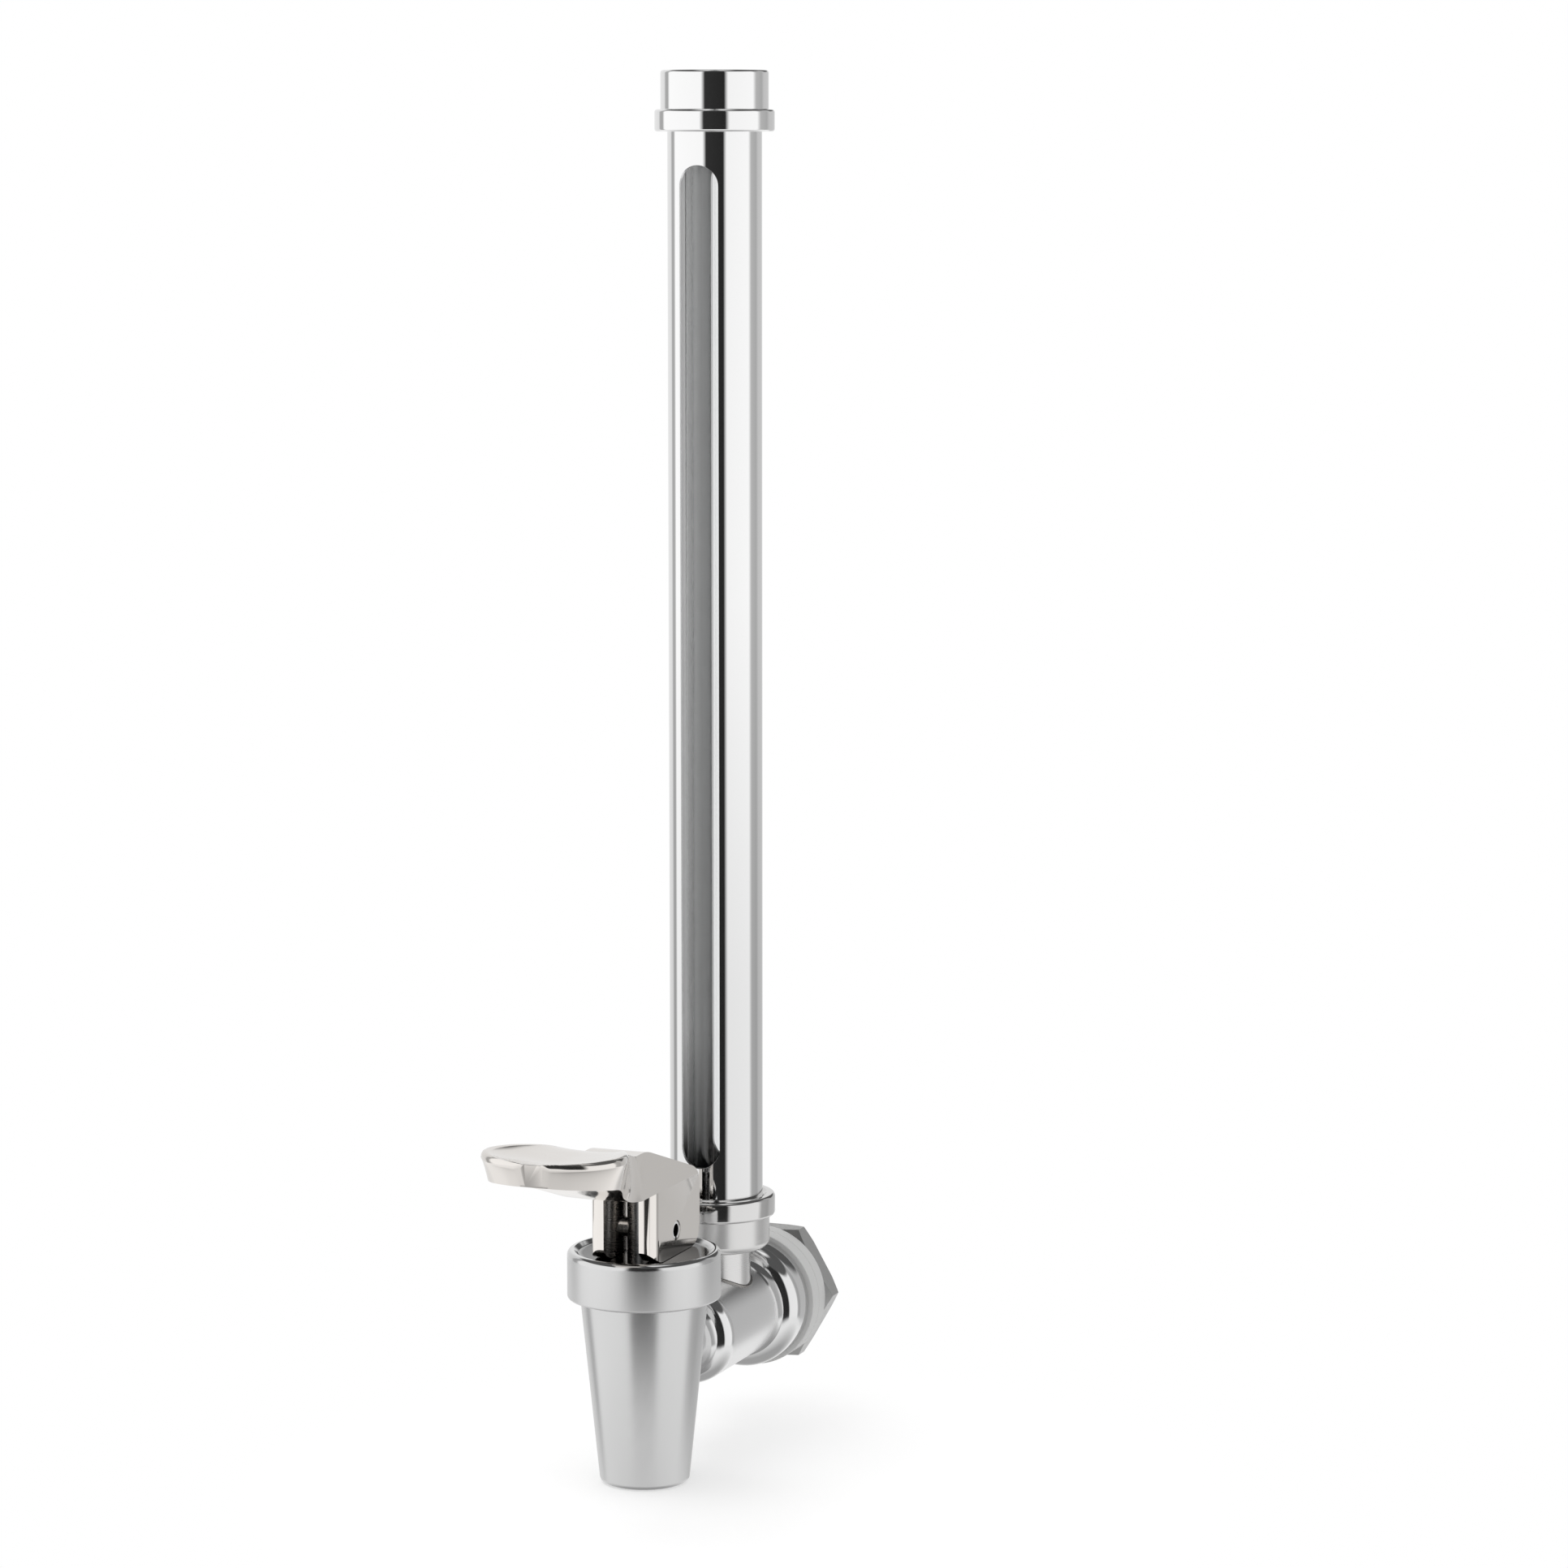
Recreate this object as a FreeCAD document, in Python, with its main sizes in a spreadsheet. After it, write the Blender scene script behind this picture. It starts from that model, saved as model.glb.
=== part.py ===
import FreeCAD, Part
import math
import os
import re
import Sketcher

Vector = FreeCAD.Vector
doc = FreeCAD.newDocument("sight_glass_spigot")

# The sheet of sizes, in millimetres and degrees
# The origin is the barrel's axis at the face that seats on the vessel's wall; +Y runs
# into the vessel, +Z is up, and the lever and spout are on the -Y side.

DRIVING_SIZES = [
    ("tap_reach", 57.3, "wall seat to the tap's upright axis"),
    ("gauge_reach", 18.8, "wall seat to the gauge's upright axis"),
    ("running_gap", 0.06, "radial clearance round the sliding stem"),
    ("rest_gap", 0.05, "clearance between flat faces that part or turn"),
    ("overshoot", 1.0, "how far each cutting shape runs past the metal"),

    ("shank_diameter", 15.9, "thread's outer diameter, five eighths of an inch"),
    ("shank_length", 24.0, "wall seat to the shank's end"),
    ("shank_chamfer", 1.0, "lead-in at the shank's end"),
    ("bore_diameter", 9.0, "waterway through shank and barrel"),
    ("barrel_diameter", 20.2, "plain barrel between the two beads"),
    ("flange_diameter", 26.6, "bead that carries the wall seat"),
    ("flange_crease_diameter", 21.3, "crease before the flange bead"),
    ("flange_length", 8.3, "wall seat to that crease"),
    ("flange_edge", 0.7, "rounding at the wall seat"),
    ("shoulder_reach", 37.0, "wall seat to the crease before the shoulder bead"),
    ("shoulder_crease_diameter", 14.9, "crease before the shoulder bead"),
    ("throat_diameter", 13.6, "throat between tap and barrel"),
    ("cove_length", 2.7, "length of each hollow cove"),
    ("bead_radius", 3.3, "round of the flange bead"),
    ("shoulder_radius", 2.8, "round of the shoulder bead"),
    ("bead_lean", 0.9, "how far each bead leans back from its crease"),

    ("outlet_drop", 24.4, "barrel axis down to the spout's end"),
    ("spout_diameter", 17.8, "spout's end"),
    ("spout_edge", 1.1, "rounding of the spout's end"),
    ("shoulder_rise", 13.1, "barrel axis up to the bonnet's seat"),
    ("spout_top_diameter", 25.5, "spout under the bonnet"),
    ("outlet_diameter", 12.4, "outlet bore"),
    ("seat_bore_diameter", 9.4, "hole that the seat plug closes"),
    ("seat_lip_diameter", 12.0, "raised lip round that hole"),
    ("seat_lip_height", 0.8, "height of the lip"),
    ("seat_lip_slope", 0.3, "how far the lip's side leans out to the floor"),
    ("seat_land", 2.4, "thickness of the floor between chamber and outlet"),
    ("chamber_diameter", 17.6, "valve chamber"),
    ("chamber_drop", 7.6, "barrel axis down to the chamber's floor"),
    ("chamber_edge", 0.8, "rounding between the chamber's wall and floor"),
    ("mouth_diameter", 23.8, "threaded mouth that the bonnet screws on"),

    ("bonnet_diameter", 30.6, "bonnet cap"),
    ("bonnet_height", 9.7, "bonnet cap"),
    ("bonnet_edge", 1.2, "rounding of its upper edge"),
    ("bonnet_foot_edge", 0.5, "rounding of its lower edge"),
    ("dish_diameter", 28.0, "lip of the polished dish"),
    ("dish_floor_diameter", 26.0, "where the dish's wall meets its floor"),
    ("dish_depth", 0.8, "depth of the dish"),
    ("roof_thickness", 3.4, "metal under the dish"),
    ("thread_gap", 0.1, "radial gap in the screwed joints"),
    ("gasket_thickness", 1.4, "gasket under the bonnet"),
    ("gasket_bore", 18.6, "gasket under the bonnet"),
    ("gland_diameter", 10.2, "pocket for the O-ring"),
    ("gland_depth", 2.0, "pocket for the O-ring"),
    ("oring_section", 1.7, "thickness of the O-ring"),
    ("bush_flange_diameter", 16.4, "flange of the stem bush"),
    ("bush_flange_thickness", 1.2, "flange of the stem bush"),
    ("bush_sleeve_diameter", 8.5, "sleeve of the stem bush"),
    ("bush_sleeve_length", 3.0, "sleeve of the stem bush"),
    ("thrust_diameter", 15.4, "thrust washer"),
    ("thrust_thickness", 0.9, "thrust washer"),

    ("stem_diameter", 6.6, "sliding stem"),
    ("stem_overhang", 7.2, "pin's axis up to the stem's top"),
    ("stem_edge", 0.6, "bevel at the stem's top"),
    ("stem_flange_diameter", 12.0, "collar that the spring stands on"),
    ("stem_flange_thickness", 1.4, "collar that the spring stands on"),
    ("barb_diameter", 6.4, "barb that holds the seat plug"),
    ("barb_neck_diameter", 4.0, "neck above the barb"),
    ("barb_neck_length", 1.5, "neck above the barb"),
    ("barb_length", 1.2, "barb that holds the seat plug"),
    ("plug_diameter", 13.6, "silicone seat plug"),
    ("plug_height", 4.8, "silicone seat plug"),
    ("plug_edge", 0.8, "silicone seat plug"),
    ("spring_wire", 0.9, "return spring's wire"),
    ("spring_diameter", 10.0, "return spring, middle of the wire"),
    ("spring_turns", 6, "return spring"),

    ("valve_lift", 2.6, "how far the lever lifts the stem"),
    ("lever_tilt", 22.0, "how far the lever tips for that lift"),
    ("foot_gap", 0.08, "cheeks' feet above the dish at rest"),
    ("pin_height", 4.9, "pin's axis above the feet"),
    ("pin_diameter", 4.0, "slotted spring pin"),
    ("pin_wall", 0.75, "slotted spring pin"),
    ("pin_slit", 0.7, "slotted spring pin"),
    ("pin_recess", 0.15, "pin's ends below the cheeks' faces"),
    ("head_width", 14.0, "lever across its cheeks"),
    ("cheek_gap", 7.5, "slot between the cheeks"),
    ("cheek_front", 11.6, "pin's axis forward to the cheeks' edge"),
    ("cheek_back", 12.1, "pin's axis back to the cheeks' edge"),
    ("heel_radius", 4.2, "lower back corner of the cheeks"),
    ("toe_radius", 6.0, "rolling edge at the front of the feet"),
    ("nape_rise", 10.3, "pin's axis up to the upper back corner"),
    ("nape_radius", 4.5, "upper back corner"),
    ("crown_setback", 12.0, "pin's axis forward to the crown"),
    ("crown_rise", 18.2, "pin's axis up to the crown"),
    ("crown_radius", 14.0, "round of the crown"),
    ("ridge_width", 11.4, "top of the head between its two facets"),
    ("skirt_rise", 9.4, "pin's axis up to the head's underside"),
    ("head_front", 17.5, "pin's axis forward to where the arm begins"),
    ("sole_sag", 0.4, "how far the arm's sole bulges, as a share of its sides' bulge"),

    ("barrel_top_gap", 0.02, "braze under the gauge's neck"),
    ("gauge_port", 5.0, "waterway up into the gauge"),
    ("neck_diameter", 13.9, "neck of the lower socket"),
    ("cup_rise", 15.2, "barrel axis up to the cup's underside"),
    ("cup_diameter", 21.8, "cup of the lower socket"),
    ("cup_edge", 1.7, "rounding under the cup"),
    ("cup_height", 6.9, "cup below its rim"),
    ("rim_diameter", 24.1, "rim round each end of the gauge"),
    ("rim_height", 4.4, "rim round each end of the gauge"),
    ("rim_edge", 0.55, "rounding of the rims"),
    ("mouth_chamfer", 0.8, "bevel inside each rim"),
    ("tube_seat_depth", 2.9, "how deep the shield tube sits in each rim"),
    ("seal_diameter", 14.8, "pocket for each glass seal"),
    ("seal_depth", 5.4, "pocket for each glass seal"),
    ("seal_floor", 1.4, "silicone between glass and metal"),
    ("seal_hole", 7.2, "hole in that floor"),
    ("seal_lip", 0.3, "seal's edge below its pocket's mouth"),
    ("tube_diameter", 19.0, "shield tube"),
    ("tube_wall", 1.0, "shield tube"),
    ("tube_gap", 0.1, "radial gap round the shield tube's ends"),
    ("tube_length", 222.0, "shield tube"),
    ("window_width", 8.3, "windows in the shield tube"),
    ("window_margin", 9.5, "tube's end to the window's end"),
    ("glass_diameter", 12.0, "sight glass"),
    ("glass_wall", 1.5, "sight glass"),
    ("glass_gap", 0.05, "radial gap between glass and seal"),
    ("cap_diameter", 21.7, "top cap above its rim"),
    ("cap_height", 7.8, "top cap above its rim"),
    ("cap_edge", 0.6, "rounding of the cap's top"),
    ("vent_diameter", 1.8, "air hole in the cap"),

    ("washer_diameter", 28.4, "silicone wall washers"),
    ("washer_thickness", 3.5, "silicone wall washers"),
    ("washer_edge", 0.6, "rounding of the wall washers"),
    ("nut_across_flats", 27.0, "lock nut"),
    ("nut_thickness", 5.0, "lock nut"),
    ("nut_chamfer", 1.5, "how far the nut's corners are turned back"),
    ("nut_bevel", 0.9, "how much of the thickness that takes"),
    ("nut_stock", 0.01, "bar left outside the nut's corners before milling"),
]

WORKED_OUT_SIZES = [
    ("tap_y", "-tap_reach"),
    ("gauge_y", "-gauge_reach"),
    ("seat_top", "seat_lip_height - chamber_drop"),
    ("plug_bottom", "seat_top + rest_gap"),
    ("plug_top", "plug_bottom + plug_height"),
    ("spring_foot", "plug_top + stem_flange_thickness"),
    ("bonnet_top", "shoulder_rise + bonnet_height"),
    ("dish_floor", "bonnet_top - dish_depth"),
    ("roof_under", "dish_floor - roof_thickness"),
    ("mouth_top", "roof_under - gasket_thickness"),
    ("bush_under", "roof_under - bush_flange_thickness"),
    ("thrust_top", "bush_under - rest_gap"),
    ("spring_head", "thrust_top - thrust_thickness"),
    ("pin_rise", "dish_floor + foot_gap + pin_height"),
    ("cam_reach", "valve_lift / (lever_tilt * pi / 180)"),
    ("toe_turn", "asin((cheek_front - cam_reach) / toe_radius)"),
    ("cup_top", "cup_rise + cup_height"),
    ("rim_top", "cup_top + rim_height"),
    ("tube_foot", "rim_top - tube_seat_depth"),
    ("seal_foot", "tube_foot - seal_depth"),
    ("glass_foot", "seal_foot + seal_floor"),
    ("tube_head", "tube_foot + tube_length"),
    ("cap_foot", "tube_head - tube_seat_depth"),
    ("cap_rim_top", "cap_foot + rim_height"),
    ("cap_top", "cap_rim_top + cap_height"),
    ("seal_head", "tube_head + seal_depth"),
    ("glass_head", "seal_head - seal_floor"),
    ("glass_bore", "glass_diameter + 2 * glass_gap"),
    ("tube_seat_diameter", "tube_diameter + 2 * tube_gap"),
    ("nut_corner", "nut_across_flats / 2 / cos(30)"),
]

# The lever's arm, from the head to the tip of the thumb pad. At each station: distance
# forward of the pin, half widths at rim and sole, heights above the pin of rim and sole,
# how far the side bulges and how deep the pad is scooped.
ARM_STATIONS = [
    ("brow", 17.5, 5.7, 7.0, 18.2, 9.4, 0.05, -0.05),
    ("throat", 22.5, 5.6, 5.4, 19.6, 11.2, 0.5, 0.1),
    ("waist", 29.0, 8.0, 6.5, 21.7, 14.2, 0.8, 0.8),
    ("flare", 36.0, 11.8, 9.3, 23.0, 16.8, 1.0, 1.8),
    ("pad", 42.0, 14.1, 11.4, 23.6, 18.2, 1.2, 2.4),
    ("palm", 46.5, 14.6, 11.8, 23.8, 18.8, 1.3, 2.2),
    ("nose", 50.5, 11.4, 9.4, 23.7, 19.0, 1.2, 1.4),
    ("bill", 53.2, 7.2, 6.0, 23.6, 19.5, 0.9, 0.6),
    ("tip", 54.7, 3.2, 2.6, 23.5, 20.2, 0.6, 0.2),
]
ARM_SIZES = ("reach", "rim", "sole", "rim_rise", "sole_rise", "bulge", "scoop")

sizes = doc.addObject("Spreadsheet::Sheet", "sizes")
names = []


def put_in_sheet(name, content, note):
    """One more row of the sheet: its name, its value under that alias, and a note."""
    row = len(names) + 2
    sizes.set("A%d" % row, name)
    sizes.set("B%d" % row, content)
    sizes.set("C%d" % row, note)
    sizes.setAlias("B%d" % row, name)
    names.append(name)


for name, number, note in DRIVING_SIZES:
    put_in_sheet(name, str(number), note)
for station in ARM_STATIONS:
    for size, number in zip(ARM_SIZES, station[1:]):
        put_in_sheet("arm_" + station[0] + "_" + size, str(number), "lever's arm")
for name, formula in WORKED_OUT_SIZES:
    put_in_sheet(name, "=" + formula, "worked out")
doc.recompute()


# How formulas, sketches and features are made

def linked(formula):
    """The formula with each of the sheet's names written as a link to the sheet."""
    return re.sub(r"[a-z][a-z_]*", lambda word: "sizes." + word.group(0)
                  if word.group(0) in names else word.group(0), formula)


def measured(formula):
    """The number that a formula in the sheet's names stands for."""
    sizes.set("E1", "=" + formula)
    sizes.recompute()
    return float(sizes.get("E1"))


def bind(thing, prop, formula):
    thing.setExpression(prop, linked(formula))


def placed(thing, across="0", along="0", up="0", turn=None):
    """Set a sub-part's Placement from the sheet, turned first if asked."""
    if turn is not None:
        thing.Placement = FreeCAD.Placement(Vector(), turn)
    for axis, formula in zip("xyz", (across, along, up)):
        bind(thing, ".Placement.Base." + axis, formula)
    return thing


def pin_down(sketch, geometry, corner):
    """Hold a point at the two formulas of a corner."""
    for kind, axis, formula in (("X", -2, corner[0]), ("Y", -1, corner[1])):
        if abs(measured(formula)) < 1e-9:
            sketch.addConstraint(Sketcher.Constraint("PointOnObject", geometry, 1, axis))
        else:
            number = sketch.addConstraint(Sketcher.Constraint(
                "Distance" + kind, -1, 1, geometry, 1, measured(formula)))
            bind(sketch, "Constraints[%d]" % number, formula)


def add_arc(sketch, start, middle, end):
    """An arc through three points; gives its index and which of its ends is the start."""
    circle = Part.Arc(start, middle, end).toShape().Curve
    centre, radius = circle.Center, circle.Radius
    forward = (middle - start).cross(end - middle).z > 0
    first, last = (start, end) if forward else (end, start)
    angles = [math.atan2(spot.y - centre.y, spot.x - centre.x) for spot in (first, last)]
    if angles[1] < angles[0]:
        angles[1] += 2 * math.pi
    whole = Part.Circle(centre, Vector(0, 0, 1), radius)
    index = sketch.addGeometry(Part.ArcOfCircle(whole, angles[0], angles[1]))
    return index, (1, 2) if forward else (2, 1)


def draw(sketch, outline):
    """A closed outline. A corner is (x, y), or (x, y, radius) where it is rounded, and
    ("via", x, y) between two corners bends the edge between them into an arc."""
    corners = [entry for entry in outline if entry[0] != "via"]
    vias = {}
    for place, entry in enumerate(outline):
        if entry[0] == "via":
            vias[corners.index(outline[place - 1])] = entry[1:]
    spots = [Vector(measured(c[0]), measured(c[1]), 0) for c in corners]
    count = len(corners)
    ends = []
    bends = []
    for i in range(count):
        here, before, after = spots[i], spots[i - 1], spots[(i + 1) % count]
        if len(corners[i]) == 2:
            ends.append((here, here))
            bends.append(None)
            continue
        radius = measured(corners[i][2])
        back = (before - here).normalize()
        on = (after - here).normalize()
        half = math.acos(max(-1.0, min(1.0, back.dot(on)))) / 2
        reach = radius / math.tan(half)
        centre = here + (back + on).normalize() * (radius / math.sin(half))
        middle = centre + (here - centre).normalize() * radius
        ends.append((here + back * reach, here + on * reach))
        bends.append(middle)
    marks = []
    for i in range(count):
        marks.append(sketch.addGeometry(Part.Point(spots[i]), True))
        pin_down(sketch, marks[i], corners[i])
    edges = []
    for i in range(count):
        start = ends[i][1]
        end = ends[(i + 1) % count][0]
        if i in vias:
            via = Vector(measured(vias[i][0]), measured(vias[i][1]), 0)
            index, order = add_arc(sketch, start, via, end)
            mark = sketch.addGeometry(Part.Point(via), True)
            pin_down(sketch, mark, vias[i])
            sketch.addConstraint(Sketcher.Constraint("PointOnObject", mark, 1, index))
        else:
            index, order = sketch.addGeometry(Part.LineSegment(start, end)), (1, 2)
        edges.append((index, order))
    for i in range(count):
        coming, leaving = edges[i - 1], edges[i]
        if bends[i] is None:
            for edge, end in ((coming, 1), (leaving, 0)):
                sketch.addConstraint(Sketcher.Constraint(
                    "Coincident", edge[0], edge[1][end], marks[i], 1))
            continue
        arc, order = add_arc(sketch, ends[i][0], bends[i], ends[i][1])
        for edge in (coming, leaving):
            sketch.addConstraint(Sketcher.Constraint("PointOnObject", marks[i], 1, edge[0]))
        sketch.addConstraint(Sketcher.Constraint(
            "Tangent", coming[0], coming[1][1], arc, order[0]))
        sketch.addConstraint(Sketcher.Constraint(
            "Tangent", leaving[0], leaving[1][0], arc, order[1]))
        number = sketch.addConstraint(Sketcher.Constraint("Radius", arc, measured(corners[i][2])))
        bind(sketch, "Constraints[%d]" % number, corners[i][2])


def draw_circle(sketch, across, up, diameter):
    spot = Vector(measured(across), measured(up), 0)
    circle = Part.Circle(spot, Vector(0, 0, 1), measured(diameter) / 2)
    index = sketch.addGeometry(circle)
    mark = sketch.addGeometry(Part.Point(spot), True)
    pin_down(sketch, mark, (across, up))
    sketch.addConstraint(Sketcher.Constraint("Coincident", index, 3, mark, 1))
    number = sketch.addConstraint(Sketcher.Constraint("Diameter", index, measured(diameter)))
    bind(sketch, "Constraints[%d]" % number, diameter)


def new_body(name):
    return doc.addObject("PartDesign::Body", name)


def new_sketch(body, name, plane, offset=None):
    """A sketch on one of the body's own origin planes, moved out along its normal."""
    sketch = body.newObject("Sketcher::SketchObject", name)
    for feature in body.Origin.OriginFeatures:
        if feature.Role == plane:
            sketch.AttachmentSupport = [(feature, "")]
    sketch.MapMode = "FlatFace"
    if offset is not None:
        bind(sketch, ".AttachmentOffset.Base.z", offset)
    return sketch


def spin(body, name, sketch, axis, kind="PartDesign::Revolution"):
    """Turn a sketch right round one of its own axes, as metal or as a hollow."""
    feature = body.newObject(kind, name)
    feature.Profile = sketch
    feature.ReferenceAxis = (sketch, [axis])
    feature.Angle = 360
    sketch.Visibility = False
    body.Tip = feature
    return feature


def upright_axis(sketch, along):
    """A construction line in the sketch, which its shape is turned about."""
    spot = Vector(measured(along), 0, 0)
    rise = Vector(0, measured("shoulder_rise"), 0)
    index = sketch.addGeometry(Part.LineSegment(spot, spot + rise), True)
    pin_down(sketch, index, (along, "0"))
    sketch.addConstraint(Sketcher.Constraint("Vertical", index))
    number = sketch.addConstraint(Sketcher.Constraint("DistanceY", index, 1, index, 2, rise.y))
    bind(sketch, "Constraints[%d]" % number, "shoulder_rise")


def cut_through(body, name, sketch):
    """Cut a sketch through the whole body, both ways from its plane."""
    feature = body.newObject("PartDesign::Pocket", name)
    feature.Profile = sketch
    feature.SideType = "Symmetric"
    feature.Type = "ThroughAll"
    sketch.Visibility = False
    body.Tip = feature
    return feature


def turned(name, outline):
    """A piece turned on a lathe: the outline is (radius, height) about local Z."""
    body = new_body(name)
    sketch = new_sketch(body, name + "_outline", "XZ_Plane")
    draw(sketch, outline)
    spin(body, name + "_turning", sketch, "V_Axis")
    return body


def half(name):
    return name + " / 2"


LYING = FreeCAD.Rotation(Vector(1, 0, 0), -90)


# Tap body: spout, valve chamber, barrel, wall flange and shank in one casting

def make_tap_body():
    body = new_body("tap_body")
    barrel = new_sketch(body, "barrel_outline", "YZ_Plane")
    outline = [
        ("tap_y", "0"),
        ("tap_y", half("throat_diameter")),
        ("-(shoulder_reach + cove_length)", half("throat_diameter")),
        ("via", "-(shoulder_reach + cove_length / 2)",
         "(3 * throat_diameter + shoulder_crease_diameter) / 8"),
        ("-shoulder_reach", half("shoulder_crease_diameter")),
        ("bead_lean - shoulder_reach", half("barrel_diameter"), "shoulder_radius"),
        ("-(flange_length + cove_length)", half("barrel_diameter")),
        ("via", "-(flange_length + cove_length / 2)",
         "(3 * barrel_diameter + flange_crease_diameter) / 8"),
        ("-flange_length", half("flange_crease_diameter")),
        ("bead_lean - flange_length", half("flange_diameter"), "bead_radius"),
        ("0", half("flange_diameter"), "flange_edge"),
        ("0", half("shank_diameter")),
        ("shank_length - shank_chamfer", half("shank_diameter")),
        ("shank_length", "shank_diameter / 2 - shank_chamfer"),
        ("shank_length", "0"),
    ]
    draw(barrel, outline)
    spin(body, "barrel", barrel, "H_Axis")

    spout = new_sketch(body, "spout_outline", "YZ_Plane")
    draw(spout, [
        ("tap_y", "-outlet_drop"),
        ("tap_y + spout_diameter / 2", "-outlet_drop", "spout_edge"),
        ("tap_y + spout_top_diameter / 2", "shoulder_rise"),
        ("tap_y + mouth_diameter / 2", "shoulder_rise"),
        ("tap_y + mouth_diameter / 2", "mouth_top"),
        ("tap_y", "mouth_top"),
    ])
    upright_axis(spout, "tap_y")
    spin(body, "spout", spout, "Axis0")

    chamber = new_sketch(body, "chamber_outline", "YZ_Plane")
    draw(chamber, [
        ("tap_y", "-(outlet_drop + overshoot)"),
        ("tap_y + outlet_diameter / 2", "-(outlet_drop + overshoot)"),
        ("tap_y + outlet_diameter / 2", "-(chamber_drop + seat_land)"),
        ("tap_y + seat_bore_diameter / 2", "-(chamber_drop + seat_land)"),
        ("tap_y + seat_bore_diameter / 2", "seat_top"),
        ("tap_y + seat_lip_diameter / 2", "seat_top"),
        ("tap_y + seat_lip_diameter / 2 + seat_lip_slope", "-chamber_drop"),
        ("tap_y + chamber_diameter / 2", "-chamber_drop", "chamber_edge"),
        ("tap_y + chamber_diameter / 2", "mouth_top + overshoot"),
        ("tap_y", "mouth_top + overshoot"),
    ])
    upright_axis(chamber, "tap_y")
    spin(body, "chamber", chamber, "Axis0", "PartDesign::Groove")

    waterway = new_sketch(body, "waterway_outline", "YZ_Plane")
    draw(waterway, [
        ("tap_y", "0"),
        ("tap_y", half("bore_diameter")),
        ("shank_length + overshoot", half("bore_diameter")),
        ("shank_length + overshoot", "0"),
    ])
    spin(body, "waterway", waterway, "H_Axis", "PartDesign::Groove")

    port = new_sketch(body, "port_outline", "YZ_Plane")
    draw(port, [
        ("gauge_y", "0"),
        ("gauge_y + gauge_port / 2", "0"),
        ("gauge_y + gauge_port / 2", "barrel_diameter / 2 + overshoot"),
        ("gauge_y", "barrel_diameter / 2 + overshoot"),
    ])
    upright_axis(port, "gauge_y")
    spin(body, "port", port, "Axis0", "PartDesign::Groove")
    return body


make_tap_body()


# Bonnet, its gasket and the stem's seals

placed(turned("bonnet_cap", [
    ("stem_diameter / 2 + running_gap", "dish_floor"),
    (half("dish_floor_diameter"), "dish_floor"),
    (half("dish_diameter"), "bonnet_top"),
    (half("bonnet_diameter"), "bonnet_top", "bonnet_edge"),
    (half("bonnet_diameter"), "shoulder_rise", "bonnet_foot_edge"),
    ("mouth_diameter / 2 + thread_gap", "shoulder_rise"),
    ("mouth_diameter / 2 + thread_gap", "roof_under"),
    (half("gland_diameter"), "roof_under"),
    (half("gland_diameter"), "roof_under + gland_depth"),
    ("stem_diameter / 2 + running_gap", "roof_under + gland_depth"),
]), along="tap_y")

placed(turned("bonnet_gasket", [
    (half("gasket_bore"), "mouth_top"),
    (half("mouth_diameter"), "mouth_top"),
    (half("mouth_diameter"), "roof_under"),
    (half("gasket_bore"), "roof_under"),
]), along="tap_y")

placed(turned("stem_bush", [
    ("stem_diameter / 2 + running_gap", "bush_under - bush_sleeve_length"),
    (half("bush_sleeve_diameter"), "bush_under - bush_sleeve_length"),
    (half("bush_sleeve_diameter"), "bush_under"),
    (half("bush_flange_diameter"), "bush_under"),
    (half("bush_flange_diameter"), "roof_under"),
    ("stem_diameter / 2 + running_gap", "roof_under"),
]), along="tap_y")

oring = doc.addObject("Part::Torus", "stem_oring")
bind(oring, "Radius1", "stem_diameter / 2 + running_gap + oring_section / 2")
bind(oring, "Radius2", half("oring_section"))
placed(oring, along="tap_y", up="roof_under + gland_depth / 2")

placed(turned("thrust_washer", [
    ("bush_sleeve_diameter / 2 + running_gap", "spring_head"),
    (half("thrust_diameter"), "spring_head"),
    (half("thrust_diameter"), "thrust_top"),
    ("bush_sleeve_diameter / 2 + running_gap", "thrust_top"),
]), along="tap_y")


# Stem, seat plug and return spring

def make_stem():
    stem = turned("stem", [
        ("0", "plug_top - barb_neck_length - barb_length"),
        ("barb_neck_diameter / 2", "plug_top - barb_neck_length - barb_length"),
        (half("barb_diameter"), "plug_top - barb_neck_length"),
        (half("barb_neck_diameter"), "plug_top - barb_neck_length"),
        (half("barb_neck_diameter"), "plug_top"),
        (half("stem_flange_diameter"), "plug_top"),
        (half("stem_flange_diameter"), "spring_foot"),
        (half("stem_diameter"), "spring_foot"),
        (half("stem_diameter"), "pin_rise + stem_overhang - stem_edge"),
        ("stem_diameter / 2 - stem_edge", "pin_rise + stem_overhang"),
        ("0", "pin_rise + stem_overhang"),
    ])
    hole = new_sketch(stem, "stem_pin_hole", "YZ_Plane")
    draw_circle(hole, "0", "pin_rise", "pin_diameter + 2 * running_gap")
    cut_through(stem, "stem_drilling", hole)
    return stem


placed(make_stem(), along="tap_y")

placed(turned("seat_plug", [
    ("0", "plug_bottom"),
    (half("plug_diameter"), "plug_bottom", "plug_edge"),
    (half("plug_diameter"), "plug_top", "plug_edge"),
    (half("barb_neck_diameter"), "plug_top"),
    (half("barb_neck_diameter"), "plug_top - barb_neck_length"),
    (half("barb_diameter"), "plug_top - barb_neck_length"),
    ("barb_neck_diameter / 2", "plug_top - barb_neck_length - barb_length"),
    ("0", "plug_top - barb_neck_length - barb_length"),
]), along="tap_y")


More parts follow.
